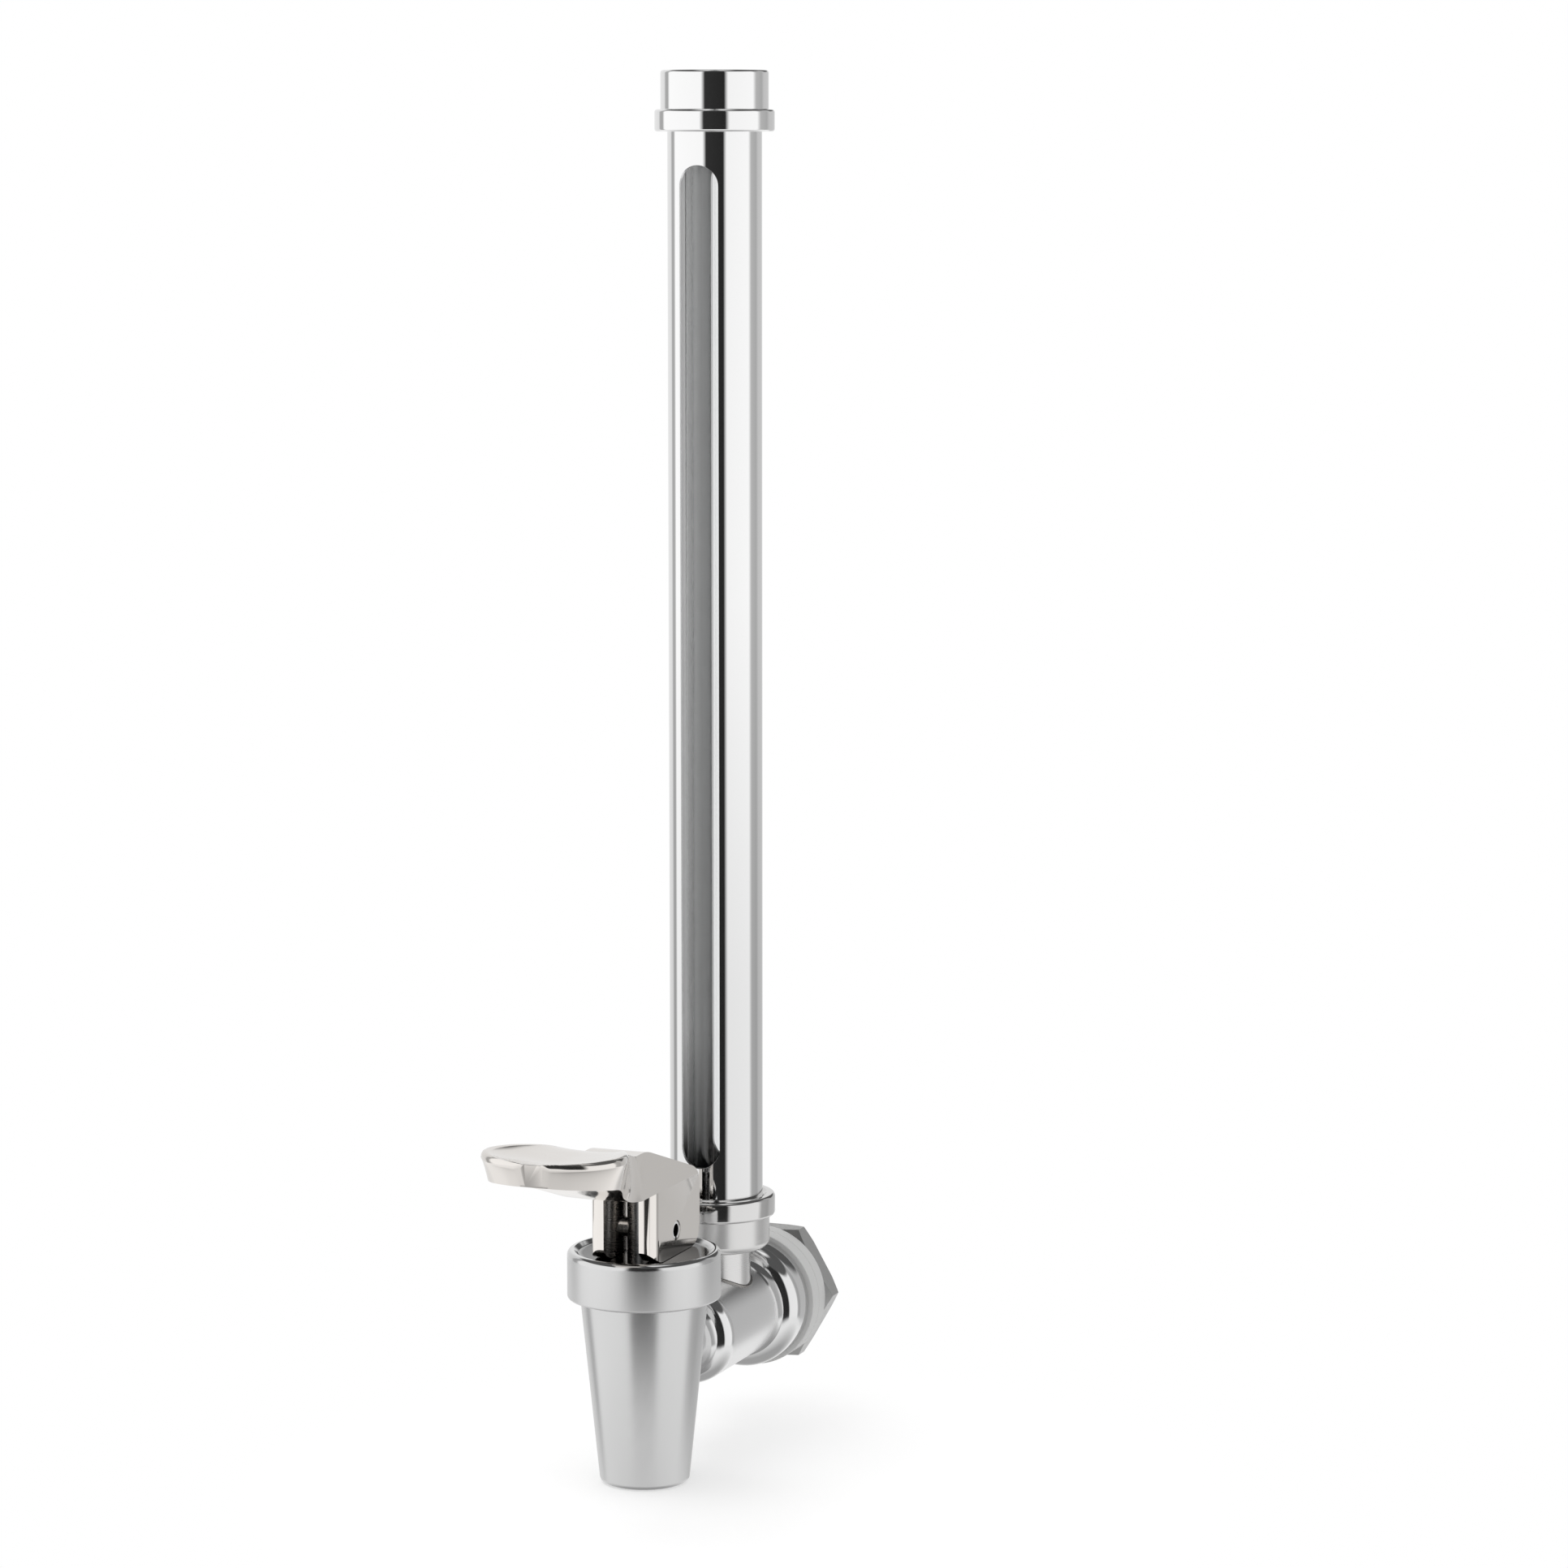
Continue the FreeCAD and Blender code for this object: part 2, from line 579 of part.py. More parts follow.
def make_spring():
    """Round wire wound on a helix; its middle runs half a wire inside each end."""
    body = new_body("stem_spring")
    section = new_sketch(body, "wire_section", "XZ_Plane")
    draw_circle(section, half("spring_diameter"), half("spring_wire"), "spring_wire")
    coil = body.newObject("PartDesign::AdditiveHelix", "coil")
    coil.Profile = section
    coil.ReferenceAxis = (section, ["V_Axis"])
    coil.Mode = "height-turns-angle"
    bind(coil, "Height", "spring_head - spring_foot - 2 * rest_gap - spring_wire")
    bind(coil, "Turns", "spring_turns")
    body.Tip = coil
    return body


placed(make_spring(), along="tap_y", up="spring_foot + rest_gap")


# Lever and the slotted pin that hinges it on the stem

def make_lever():
    body = new_body("lever")
    side = new_sketch(body, "head_side", "YZ_Plane")
    toe_centre = "(toe_radius - pin_height)"
    draw(side, [
        ("cheek_back", "-pin_height", "heel_radius"),
        ("cheek_back", "nape_rise", "nape_radius"),
        ("-crown_setback", "crown_rise", "crown_radius"),
        ("-head_front", "crown_rise"),
        ("-head_front", "skirt_rise"),
        ("-cheek_front", "skirt_rise"),
        ("-cheek_front", toe_centre + " - toe_radius * cos(toe_turn)"),
        ("via", "-(cam_reach + toe_radius * sin(toe_turn / 2))",
         toe_centre + " - toe_radius * cos(toe_turn / 2)"),
        ("-cam_reach", "-pin_height"),
    ])
    head = body.newObject("PartDesign::Pad", "head")
    head.Profile = side
    head.SideType = "Symmetric"
    bind(head, "Length", "head_width")
    body.Tip = head

    for number, way in enumerate(("", "-")):
        facet = new_sketch(body, "facet_%d" % number, "XZ_Plane")
        draw(facet, [
            (way + "head_width / 2", "skirt_rise"),
            (way + "ridge_width / 2", "crown_rise"),
            (way + "ridge_width / 2", "crown_rise + overshoot"),
            (way + "(head_width / 2 + overshoot)", "crown_rise + overshoot"),
            (way + "(head_width / 2 + overshoot)", "skirt_rise"),
        ])
        cut_through(body, "facet_cut_%d" % number, facet)

    slot = new_sketch(body, "slot_outline", "XZ_Plane")
    draw(slot, [
        ("-cheek_gap / 2", "-(pin_height + overshoot)"),
        ("cheek_gap / 2", "-(pin_height + overshoot)"),
        ("cheek_gap / 2", "skirt_rise"),
        ("-cheek_gap / 2", "skirt_rise"),
    ])
    cut_through(body, "slot", slot)

    sections = []
    for station in ARM_STATIONS:
        key = "arm_" + station[0] + "_"
        section = new_sketch(body, key + "section", "XZ_Plane", key + "reach")
        middle = "(%srim + %ssole) / 2 + %sbulge" % (key, key, key)
        level = "(%srim_rise + %ssole_rise) / 2" % (key, key)
        draw(section, [
            (key + "rim", key + "rim_rise"),
            ("via", "0", "%srim_rise - %sscoop" % (key, key)),
            ("-" + key + "rim", key + "rim_rise"),
            ("via", "-(" + middle + ")", level),
            ("-" + key + "sole", key + "sole_rise"),
            ("via", "0", "%ssole_rise - sole_sag * %sbulge" % (key, key)),
            (key + "sole", key + "sole_rise"),
            ("via", middle, level),
        ])
        sections.append(section)
    arm = body.newObject("PartDesign::AdditiveLoft", "arm")
    arm.Profile = sections[0]
    arm.Sections = sections[1:]
    body.Tip = arm

    hole = new_sketch(body, "lever_pin_hole", "YZ_Plane")
    draw_circle(hole, "0", "0", "pin_diameter")
    cut_through(body, "lever_drilling", hole)
    return body


placed(make_lever(), along="tap_y", up="pin_rise")


def make_pin():
    """Rolled from spring steel: a tube with a slit along it."""
    body = turned("lever_pin", [
        ("pin_diameter / 2 - pin_wall", "pin_recess - head_width / 2"),
        (half("pin_diameter"), "pin_recess - head_width / 2"),
        (half("pin_diameter"), "head_width / 2 - pin_recess"),
        ("pin_diameter / 2 - pin_wall", "head_width / 2 - pin_recess"),
    ])
    slit = new_sketch(body, "slit_outline", "YZ_Plane")
    draw(slit, [
        ("0", "-head_width / 2"),
        ("pin_diameter", "-head_width / 2"),
        ("pin_diameter", "head_width / 2"),
        ("0", "head_width / 2"),
    ])
    cut = body.newObject("PartDesign::Pocket", "slit")
    cut.Profile = slit
    cut.SideType = "Symmetric"
    bind(cut, "Length", "pin_slit")
    body.Tip = cut
    return body


placed(make_pin(), along="tap_y", up="pin_rise",
       turn=FreeCAD.Rotation(Vector(0, 1, 0), 90))


# Gauge: lower socket, seals, glass, shield tube and cap

def make_lower_socket():
    body = turned("lower_socket", [
        (half("gauge_port"), "0"),
        (half("neck_diameter"), "0"),
        (half("neck_diameter"), "cup_rise"),
        (half("cup_diameter"), "cup_rise", "cup_edge"),
        (half("cup_diameter"), "cup_top"),
        (half("rim_diameter"), "cup_top", "rim_edge"),
        (half("rim_diameter"), "rim_top", "rim_edge"),
        ("tube_seat_diameter / 2 + mouth_chamfer", "rim_top"),
        (half("tube_seat_diameter"), "rim_top - mouth_chamfer"),
        (half("tube_seat_diameter"), "tube_foot"),
        (half("seal_diameter"), "tube_foot"),
        (half("seal_diameter"), "seal_foot"),
        (half("gauge_port"), "seal_foot"),
    ])
    saddle = new_sketch(body, "saddle_outline", "XZ_Plane")
    draw_circle(saddle, "0", "0", "barrel_diameter + 2 * barrel_top_gap")
    cut_through(body, "saddle", saddle)
    return body


placed(make_lower_socket(), along="gauge_y")

placed(turned("lower_seal", [
    (half("seal_hole"), "seal_foot"),
    (half("seal_diameter"), "seal_foot"),
    (half("seal_diameter"), "tube_foot - seal_lip"),
    (half("glass_bore"), "tube_foot - seal_lip"),
    (half("glass_bore"), "glass_foot"),
    (half("seal_hole"), "glass_foot"),
]), along="gauge_y")

placed(turned("sight_glass", [
    ("glass_diameter / 2 - glass_wall", "glass_foot"),
    (half("glass_diameter"), "glass_foot"),
    (half("glass_diameter"), "glass_head"),
    ("glass_diameter / 2 - glass_wall", "glass_head"),
]), along="gauge_y")


def make_shield_tube():
    body = turned("shield_tube", [
        ("tube_diameter / 2 - tube_wall", "tube_foot"),
        (half("tube_diameter"), "tube_foot"),
        (half("tube_diameter"), "tube_head"),
        ("tube_diameter / 2 - tube_wall", "tube_head"),
    ])
    window = new_sketch(body, "window_outline", "XZ_Plane")
    low = "tube_foot + window_margin"
    high = "tube_head - window_margin"
    draw(window, [
        ("-window_width / 2", low + " + window_width / 2"),
        ("via", "0", low),
        ("window_width / 2", low + " + window_width / 2"),
        ("window_width / 2", high + " - window_width / 2"),
        ("via", "0", high),
        ("-window_width / 2", high + " - window_width / 2"),
    ])
    cut_through(body, "windows", window)
    return body


placed(make_shield_tube(), along="gauge_y")

placed(turned("upper_seal", [
    (half("seal_hole"), "seal_head"),
    (half("seal_diameter"), "seal_head"),
    (half("seal_diameter"), "tube_head + seal_lip"),
    (half("glass_bore"), "tube_head + seal_lip"),
    (half("glass_bore"), "glass_head"),
    (half("seal_hole"), "glass_head"),
]), along="gauge_y")

placed(turned("top_cap", [
    (half("vent_diameter"), "cap_top"),
    (half("cap_diameter"), "cap_top", "cap_edge"),
    (half("cap_diameter"), "cap_rim_top"),
    (half("rim_diameter"), "cap_rim_top", "rim_edge"),
    (half("rim_diameter"), "cap_foot", "rim_edge"),
    ("tube_seat_diameter / 2 + mouth_chamfer", "cap_foot"),
    (half("tube_seat_diameter"), "cap_foot + mouth_chamfer"),
    (half("tube_seat_diameter"), "tube_head"),
    (half("seal_diameter"), "tube_head"),
    (half("seal_diameter"), "seal_head"),
    (half("vent_diameter"), "seal_head"),
]), along="gauge_y")


# Wall washers and lock nut on the shank

for number, name in enumerate(("wall_washer_outer", "wall_washer_inner")):
    placed(turned(name, [
        ("shank_diameter / 2 + thread_gap", "0"),
        (half("washer_diameter"), "0", "washer_edge"),
        (half("washer_diameter"), "washer_thickness", "washer_edge"),
        ("shank_diameter / 2 + thread_gap", "washer_thickness"),
    ]), along="%d * washer_thickness" % number, turn=LYING)


def make_lock_nut():
    """A chamfered disc with six flats milled on it."""
    body = turned("lock_nut", [
        ("shank_diameter / 2 + thread_gap", "0"),
        ("nut_corner - nut_chamfer", "0"),
        ("nut_corner + nut_stock", "nut_bevel"),
        ("nut_corner + nut_stock", "nut_thickness - nut_bevel"),
        ("nut_corner - nut_chamfer", "nut_thickness"),
        ("shank_diameter / 2 + thread_gap", "nut_thickness"),
    ])
    flats = new_sketch(body, "flats_outline", "XY_Plane")
    draw(flats, [("nut_corner * cos(%d)" % turn, "nut_corner * sin(%d)" % turn)
                 for turn in range(0, 360, 60)])
    draw_circle(flats, "0", "0", "2 * nut_across_flats")
    milling = body.newObject("PartDesign::Pocket", "flats")
    milling.Profile = flats
    milling.SideType = "Symmetric"
    bind(milling, "Length", "3 * nut_thickness")
    body.Tip = milling
    return body


placed(make_lock_nut(), along="2 * washer_thickness", turn=LYING)


# Check every object and write one file for each sub-part

SUB_PARTS = [
    "tap_body", "bonnet_cap", "bonnet_gasket", "stem_bush", "stem_oring", "thrust_washer",
    "stem_spring", "stem", "seat_plug", "lever", "lever_pin", "lower_socket", "lower_seal",
    "sight_glass", "shield_tube", "upper_seal", "top_cap", "wall_washer_outer",
    "wall_washer_inner", "lock_nut",
]

doc.recompute()
for thing in doc.Objects:
    if "Invalid" in thing.State or "Error" in thing.State:
        raise RuntimeError("%s could not be worked out: %s" % (thing.Label, thing.State))
os.makedirs("parts", exist_ok=True)
for name in SUB_PARTS:
    thing = doc.getObject(name)
    shape = thing.Shape
    if shape.isNull() or not shape.isValid() or len(shape.Solids) != 1:
        raise RuntimeError("%s is not one valid solid" % name)
    thing.Label = name
for name in SUB_PARTS:
    doc.getObject(name).Shape.exportStep(os.path.join("parts", name + ".step"))
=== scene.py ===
import math
import bmesh
import bpy
from mathutils import Matrix, Vector


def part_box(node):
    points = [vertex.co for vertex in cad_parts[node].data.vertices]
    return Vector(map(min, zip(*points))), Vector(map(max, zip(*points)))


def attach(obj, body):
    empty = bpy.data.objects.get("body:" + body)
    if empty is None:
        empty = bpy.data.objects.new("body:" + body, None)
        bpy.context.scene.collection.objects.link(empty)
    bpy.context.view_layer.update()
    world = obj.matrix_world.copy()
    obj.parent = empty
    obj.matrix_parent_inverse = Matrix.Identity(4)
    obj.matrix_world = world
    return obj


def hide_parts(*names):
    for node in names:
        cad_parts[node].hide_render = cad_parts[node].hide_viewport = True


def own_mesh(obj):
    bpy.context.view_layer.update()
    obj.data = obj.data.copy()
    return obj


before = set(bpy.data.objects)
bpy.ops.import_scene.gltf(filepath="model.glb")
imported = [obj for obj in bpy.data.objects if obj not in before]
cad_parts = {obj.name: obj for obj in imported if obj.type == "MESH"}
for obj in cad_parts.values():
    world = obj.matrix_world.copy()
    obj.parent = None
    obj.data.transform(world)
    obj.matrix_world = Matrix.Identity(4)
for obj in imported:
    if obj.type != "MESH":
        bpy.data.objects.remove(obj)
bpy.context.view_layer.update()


# Tap body. One stainless casting carries the spout, the valve chamber, the barrel with its
# two beads and the wall flange, and the screwed shank. The spout and barrel are brushed
# satin; the beads and hollow coves between them are buffed bright.

MM = 0.001
tap_y = sum(corner.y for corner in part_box("bonnet_cap")) / 2 / MM
gauge_y = sum(corner.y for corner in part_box("sight_glass")) / 2 / MM


def rounded(outline, steps=6):
    """Each corner (radius, height, rounding) becomes an arc; other corners stay sharp."""
    points = []
    for i, corner in enumerate(outline):
        here = Vector(corner[:2])
        if len(corner) == 2:
            points.append(here)
            continue
        back = (Vector(outline[i - 1][:2]) - here).normalized()
        on = (Vector(outline[(i + 1) % len(outline)][:2]) - here).normalized()
        half = math.acos(max(-1, min(1, back.dot(on)))) / 2
        start = here + back * corner[2] / math.tan(half)
        end = here + on * corner[2] / math.tan(half)
        centre = here + (back + on).normalized() * corner[2] / math.sin(half)
        turn = (start - centre).angle_signed(end - centre)
        for step in range(steps + 1):
            angle = -turn * step / steps
            arm = start - centre
            points.append(centre + Vector((
                arm.x * math.cos(angle) - arm.y * math.sin(angle),
                arm.x * math.sin(angle) + arm.y * math.cos(angle))))
    return points


def spread(start, end, step):
    """Points from one corner to the next, about a step apart, without the last."""
    count = max(1, round((Vector(end) - Vector(start)).length / step))
    return [Vector(start).lerp(Vector(end), i / count) for i in range(count)]


def add_piece(name, mesh):
    """A new object that shows the mesh, put into the scene."""
    piece = bpy.data.objects.new(name, mesh)
    bpy.context.scene.collection.objects.link(piece)
    return piece


def smooth_over(piece, degrees=28):
    """Smooth shading, with a crisp line wherever two faces meet at more than the angle."""
    for face in piece.data.polygons:
        face.use_smooth = True
    piece.data.set_sharp_from_angle(angle=math.radians(degrees))
    return piece


def skin(name, rings, capped=True):
    """A closed mesh over rings of points in mm, with end caps or joined up to the first."""
    shape = bmesh.new()
    rings = [[shape.verts.new(Vector(spot) * MM) for spot in ring] for ring in rings]
    if capped:
        for ring in (rings[0], rings[-1]):
            shape.faces.new(ring)
    for i, ring in enumerate(rings[:-1] if capped else rings):
        after = rings[(i + 1) % len(rings)]
        for k in range(max(len(ring), len(after))):
            corners = [ring[k % len(ring)], ring[(k + 1) % len(ring)],
                       after[(k + 1) % len(after)], after[k % len(after)]]
            face = list(dict.fromkeys(corners))
            if len(face) > 2:
                shape.faces.new(face)
    bmesh.ops.recalc_face_normals(shape, faces=shape.faces)
    mesh = bpy.data.meshes.new(name)
    shape.to_mesh(mesh)
    shape.free()
    return add_piece(name, mesh)


def turned(name, outline, along=0.0, lying=False, around=128):
    """A lathe-turned piece, from the closed outline of its section as (radius, height)."""
    rings = []
    for radius, height in rounded(outline):
        ring = []
        for k in range(around if radius > 1e-6 else 1):
            angle = 2 * math.pi * k / around
            across, ahead = radius * math.cos(angle), radius * math.sin(angle)
            ring.append((across, along + height, ahead) if lying
                        else (across, along + ahead, height))
        rings.append(ring)
    return smooth_over(skin(name, rings, capped=False))


def settle(piece):
    """The piece as its modifiers leave it, as a plain mesh."""
    depsgraph = bpy.context.evaluated_depsgraph_get()
    mesh = bpy.data.meshes.new_from_object(piece.evaluated_get(depsgraph))
    mesh.name = piece.name
    piece.modifiers.clear()
    piece.data = mesh
    return piece


def combine(piece, other, how):
    """Join, cut or keep in common with another shape, which is used up."""
    work = piece.modifiers.new(how.lower(), "BOOLEAN")
    work.operation = how
    work.solver = "MANIFOLD"
    work.object = other
    settle(piece)
    bpy.data.objects.remove(other)
    return piece


def add_node(tree, kind, inputs=(), **settings):
    """A node with its settings, and its inputs linked or set."""
    made = tree.nodes.new(kind)
    for key, value in settings.items():
        setattr(made, key, value)
    for key, value in dict(inputs).items():
        if isinstance(value, bpy.types.NodeSocket):
            tree.links.new(value, made.inputs[key])
        else:
            made.inputs[key].default_value = value
    return made.outputs


def reckon(tree, operation, *values):
    """A Math node's result; values are numbers or sockets."""
    return add_node(tree, "ShaderNodeMath", enumerate(values), operation=operation)[0]


def shades(tree, spot, stops):
    """A grey by where the spot lies from 0 to 1 between the stops."""
    ramp = tree.nodes.new("ShaderNodeValToRGB")
    tree.links.new(spot, ramp.inputs[0])
    while len(ramp.color_ramp.elements) < len(stops):
        ramp.color_ramp.elements.new(0.5)
    for element, (place, value) in zip(ramp.color_ramp.elements, stops):
        element.position = place
        element.color = (value, value, value, 1)
    return ramp.outputs[0]


class Finish:
    """A material with one Principled shader, and short ways to vary it over the surface."""

    def __init__(self, name, **sockets):
        self.material = bpy.data.materials.new(name)
        self.material.use_nodes = True
        self.tree = self.material.node_tree
        self.shader = self.tree.nodes["Principled BSDF"]
        for socket, value in sockets.items():
            self.shader.inputs[socket.replace("_", " ")].default_value = value
        self.place = add_node(self.tree, "ShaderNodeTexCoord")["Object"]

    def set(self, socket, output):
        """Feeds one of the shader's sockets."""
        self.tree.links.new(output, self.shader.inputs[socket])

    def grain(self, stretch, detail=3.0):
        """Noise stretched over the piece: marks per metre across, along and up."""
        scaled = add_node(self.tree, "ShaderNodeMapping", {
            "Vector": self.place, "Scale": stretch})
        return add_node(self.tree, "ShaderNodeTexNoise", {
            "Vector": scaled[0], "Scale": 1.0, "Detail": detail})[0]

    def along(self, axis, stops):
        """A value that changes along an axis: stops are (millimetres, value)."""
        low, high = stops[0][0], stops[-1][0]
        split = add_node(self.tree, "ShaderNodeSeparateXYZ", {0: self.place})
        share = add_node(self.tree, "ShaderNodeMapRange", {
            0: split[axis], 1: low * MM, 2: high * MM})[0]
        return shades(self.tree, share, [((spot - low) / (high - low), value)
                                         for spot, value in stops])

    def from_axis(self, centre, across):
        """The distance from the line through a centre in mm, over the directions across it."""
        away = add_node(self.tree, "ShaderNodeVectorMath", {
            0: self.place, 1: Vector(centre) * MM}, operation="SUBTRACT")[0]
        away = add_node(self.tree, "ShaderNodeVectorMath", {0: away, 1: across},
                        operation="MULTIPLY")[0]
        return add_node(self.tree, "ShaderNodeVectorMath", {0: away}, operation="LENGTH")["Value"]

    def change(self, distance, start, end, inner, outer):
        """From the inner value to the outer one, between two distances in mm."""
        return add_node(self.tree, "ShaderNodeMapRange", {
            0: distance, 1: start * MM, 2: end * MM, 3: inner, 4: outer})[0]

    def vary(self, socket, base, noise, amount):
        """Sets a socket to the base value, give or take some of the noise."""
        swing = reckon(self.tree, "SUBTRACT", noise, 0.5)
        self.set(socket, reckon(self.tree, "MULTIPLY_ADD", swing, amount, base))

    def dent(self, noise, depth_mm, strength=1.0):
        """Raises and lowers the surface a little by the noise."""
        self.set("Normal", add_node(self.tree, "ShaderNodeBump", {
            "Height": noise, "Distance": depth_mm * MM, "Strength": strength})[0])


def dress(piece, material, body, *nodes, slot=None):
    """Gives a piece its material, its body and the nodes it stands for; the slot is not used."""
    piece.data.materials.clear()
    piece.data.materials.append(material)
    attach(piece, body)
    if nodes:
        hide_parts(*nodes)
    return piece


STEEL = (0.70, 0.695, 0.69, 1)
spout_end, spout_radius, spout_top_radius = -24.4, 8.9, 12.75
bonnet_seat, mouth_radius, mouth_top = 13.1, 11.9, 17.2
chamber_radius, chamber_floor = 8.8, -7.6
seat_radius, lip_radius, lip_top, lip_taper = 4.7, 6.0, -6.8, 0.3
outlet_radius, outlet_top = 6.2, -10.0
tap_body = turned("tap_casting", [
    (spout_radius, spout_end, 1.1),
    (spout_top_radius, bonnet_seat, 0.2),
    (mouth_radius, bonnet_seat),
    (mouth_radius, mouth_top, 0.3),
    (chamber_radius, mouth_top),
    (chamber_radius, chamber_floor, 0.8),
    (lip_radius + lip_taper, chamber_floor),
    (lip_radius, lip_top, 0.2),
    (seat_radius, lip_top, 0.2),
    (seat_radius, outlet_top),
    (outlet_radius, outlet_top),
    (outlet_radius, spout_end, 0.4),
], along=tap_y)

throat_radius, throat_fillet = 6.8, 1.3
shoulder, shoulder_crease, barrel_radius = -37.0, 7.45, 10.1
flange, flange_crease, flange_radius = -8.3, 10.65, 13.3
cove, bead_lean = 2.7, 0.9
shank_radius, shank_end, shank_chamfer, bore_radius = 7.95, 24.0, 1.0, 4.5
spout_slope = (spout_top_radius - spout_radius) / (bonnet_seat - spout_end)
thread_pitch, thread_depth, thread_start, thread_step = 1.81, 0.95, 0.3, 0.16
inside_wall, ring_count, fillet_steps = 1.2, 96, 7


def spout_face(across, up):
    """How far out the spout's conical face lies from its axis, seen along the barrel."""
    reach = spout_radius + (up - spout_end) * spout_slope
    return tap_y + math.sqrt(reach * reach - across * across)


def hollow(start, start_radius, end, end_radius, steps=6):
    """A cove that leaves a cylinder smoothly and rises to the crease."""
    return [(start_radius + (end_radius - start_radius) * (i / steps) ** 2,
             start + (end - start) * i / steps) for i in range(steps)]


barrel_line = rounded([
    (0.0, shank_end),
    (0.0, shoulder - cove),
    *hollow(shoulder - cove, throat_radius, shoulder, shoulder_crease),
    (shoulder_crease, shoulder),
    (barrel_radius, shoulder + bead_lean, 2.8),
    *hollow(flange - cove, barrel_radius, flange, flange_crease),
    (flange_crease, flange),
    (flange_radius, flange + bead_lean, 3.3),
    (flange_radius, 0.0, 0.7),
    (shank_radius, 0.0),
    *spread((shank_radius, thread_start), (shank_radius, shank_end - shank_chamfer),
            thread_step),
    (shank_radius, shank_end - shank_chamfer),
    (shank_radius - shank_chamfer, shank_end),
])[2:]
ring_turns = [2 * math.pi * k / ring_count for k in range(ring_count)]
barrel_rings = []
for step in range(-1, fillet_steps + 1):
    quarter = math.pi / 2 * max(step, 0) / fillet_steps
    radius = throat_radius + throat_fillet * (1 - math.sin(quarter))
    offset = throat_fillet * (1 - math.cos(quarter)) if step >= 0 else -inside_wall
    circle = [(radius * math.cos(turn), radius * math.sin(turn)) for turn in ring_turns]
    barrel_rings.append([(across, spout_face(across, up) + offset, up) for across, up in circle])
for radius, height in barrel_line:
    barrel_rings.append([(radius * math.cos(turn), height, radius * math.sin(turn))
                         for turn in ring_turns])
combine(tap_body, skin("barrel", barrel_rings), "UNION")
gauge_port, past = 2.5, 1
combine(tap_body, turned("waterway", [
    (0, tap_y), (bore_radius, tap_y), (bore_radius, shank_end + past), (0, shank_end + past),
], lying=True, around=64), "DIFFERENCE")
combine(tap_body, turned("port", [
    (0, 0), (gauge_port, 0), (gauge_port, barrel_radius + past), (0, barrel_radius + past),
], along=gauge_y, around=48), "DIFFERENCE")


def new_tree(name, sizes):
    """An empty Geometry Nodes tree with a geometry and some named sizes going in."""
    tree = bpy.data.node_groups.new(name, "GeometryNodeTree")
    tree.interface.new_socket("Geometry", in_out="INPUT", socket_type="NodeSocketGeometry")
    for size in sizes:
        tree.interface.new_socket(size, in_out="INPUT", socket_type="NodeSocketFloat")
    tree.interface.new_socket("Material", in_out="INPUT", socket_type="NodeSocketMaterial")
    tree.interface.new_socket("Geometry", in_out="OUTPUT", socket_type="NodeSocketGeometry")
    return tree, tree.nodes.new("NodeGroupInput").outputs


def finish_tree(tree, given, geometry):
    """Every tree ends by making its instances real and giving them the material."""
    real = add_node(tree, "GeometryNodeRealizeInstances", {0: geometry})
    painted = add_node(tree, "GeometryNodeSetMaterial", {
        "Geometry": real[0], "Material": given["Material"]})
    out = tree.nodes.new("NodeGroupOutput")
    tree.links.new(painted[0], out.inputs[0])


def grow(piece, tree, material, **sizes):
    """Runs a tree on a piece with its sizes, and keeps the result as a plain mesh."""
    work = piece.modifiers.new(tree.name, "NODES")
    work.node_group = tree
    for socket in tree.interface.items_tree:
        if socket.in_out == "INPUT" and socket.name in sizes:
            work[socket.identifier] = float(sizes[socket.name])
        if socket.in_out == "INPUT" and socket.name == "Material":
            work[socket.identifier] = material
    return settle(piece)


# The thread is cut into the smooth rod by drawing each point of it towards or away from
# the axis, by how far along a turn of the screw it lies.
crest_share, on_surface = 0.12, 0.03
thread, given = new_tree("screw_thread", ["Radius", "Pitch", "Depth", "From", "To"])
spot = add_node(thread, "GeometryNodeInputPosition")
split = add_node(thread, "ShaderNodeSeparateXYZ", {0: spot[0]})
distance = reckon(thread, "SQRT", reckon(
    thread, "ADD", reckon(thread, "MULTIPLY", split[0], split[0]),
    reckon(thread, "MULTIPLY", split[2], split[2])))
turn_share = reckon(thread, "DIVIDE", reckon(thread, "ARCTAN2", split[0], split[2]), 2 * math.pi)
phase = reckon(thread, "FRACT", reckon(
    thread, "ADD", reckon(thread, "DIVIDE", split[1], given["Pitch"]), turn_share))
groove = reckon(thread, "MULTIPLY", reckon(
    thread, "ABSOLUTE", reckon(thread, "SUBTRACT", phase, 0.5)), 2.0)
groove = add_node(thread, "ShaderNodeMapRange", {
    0: groove, 1: crest_share, 2: 1 - crest_share})[0]
lead_in = add_node(thread, "ShaderNodeMapRange", {
    0: split[1], 1: given["From"], 2: reckon(thread, "ADD", given["From"], given["Pitch"])})[0]
run_out = add_node(thread, "ShaderNodeMapRange", {
    0: split[1], 1: given["To"], 2: reckon(thread, "SUBTRACT", given["To"], given["Pitch"])})[0]
cut = reckon(thread, "MULTIPLY", reckon(thread, "MULTIPLY", groove, given["Depth"]),
             reckon(thread, "MINIMUM", lead_in, run_out))
shrink = reckon(thread, "DIVIDE", reckon(thread, "SUBTRACT", distance, cut), distance)
moved = add_node(thread, "ShaderNodeCombineXYZ", {
    0: reckon(thread, "MULTIPLY", split[0], shrink), 1: split[1],
    2: reckon(thread, "MULTIPLY", split[2], shrink)})
on_rod = reckon(thread, "COMPARE", distance, given["Radius"], on_surface * MM)
shaped = add_node(thread, "GeometryNodeSetPosition", {
    "Geometry": given["Geometry"], "Selection": on_rod, "Position": moved[0]})
finish_tree(thread, given, shaped[0])

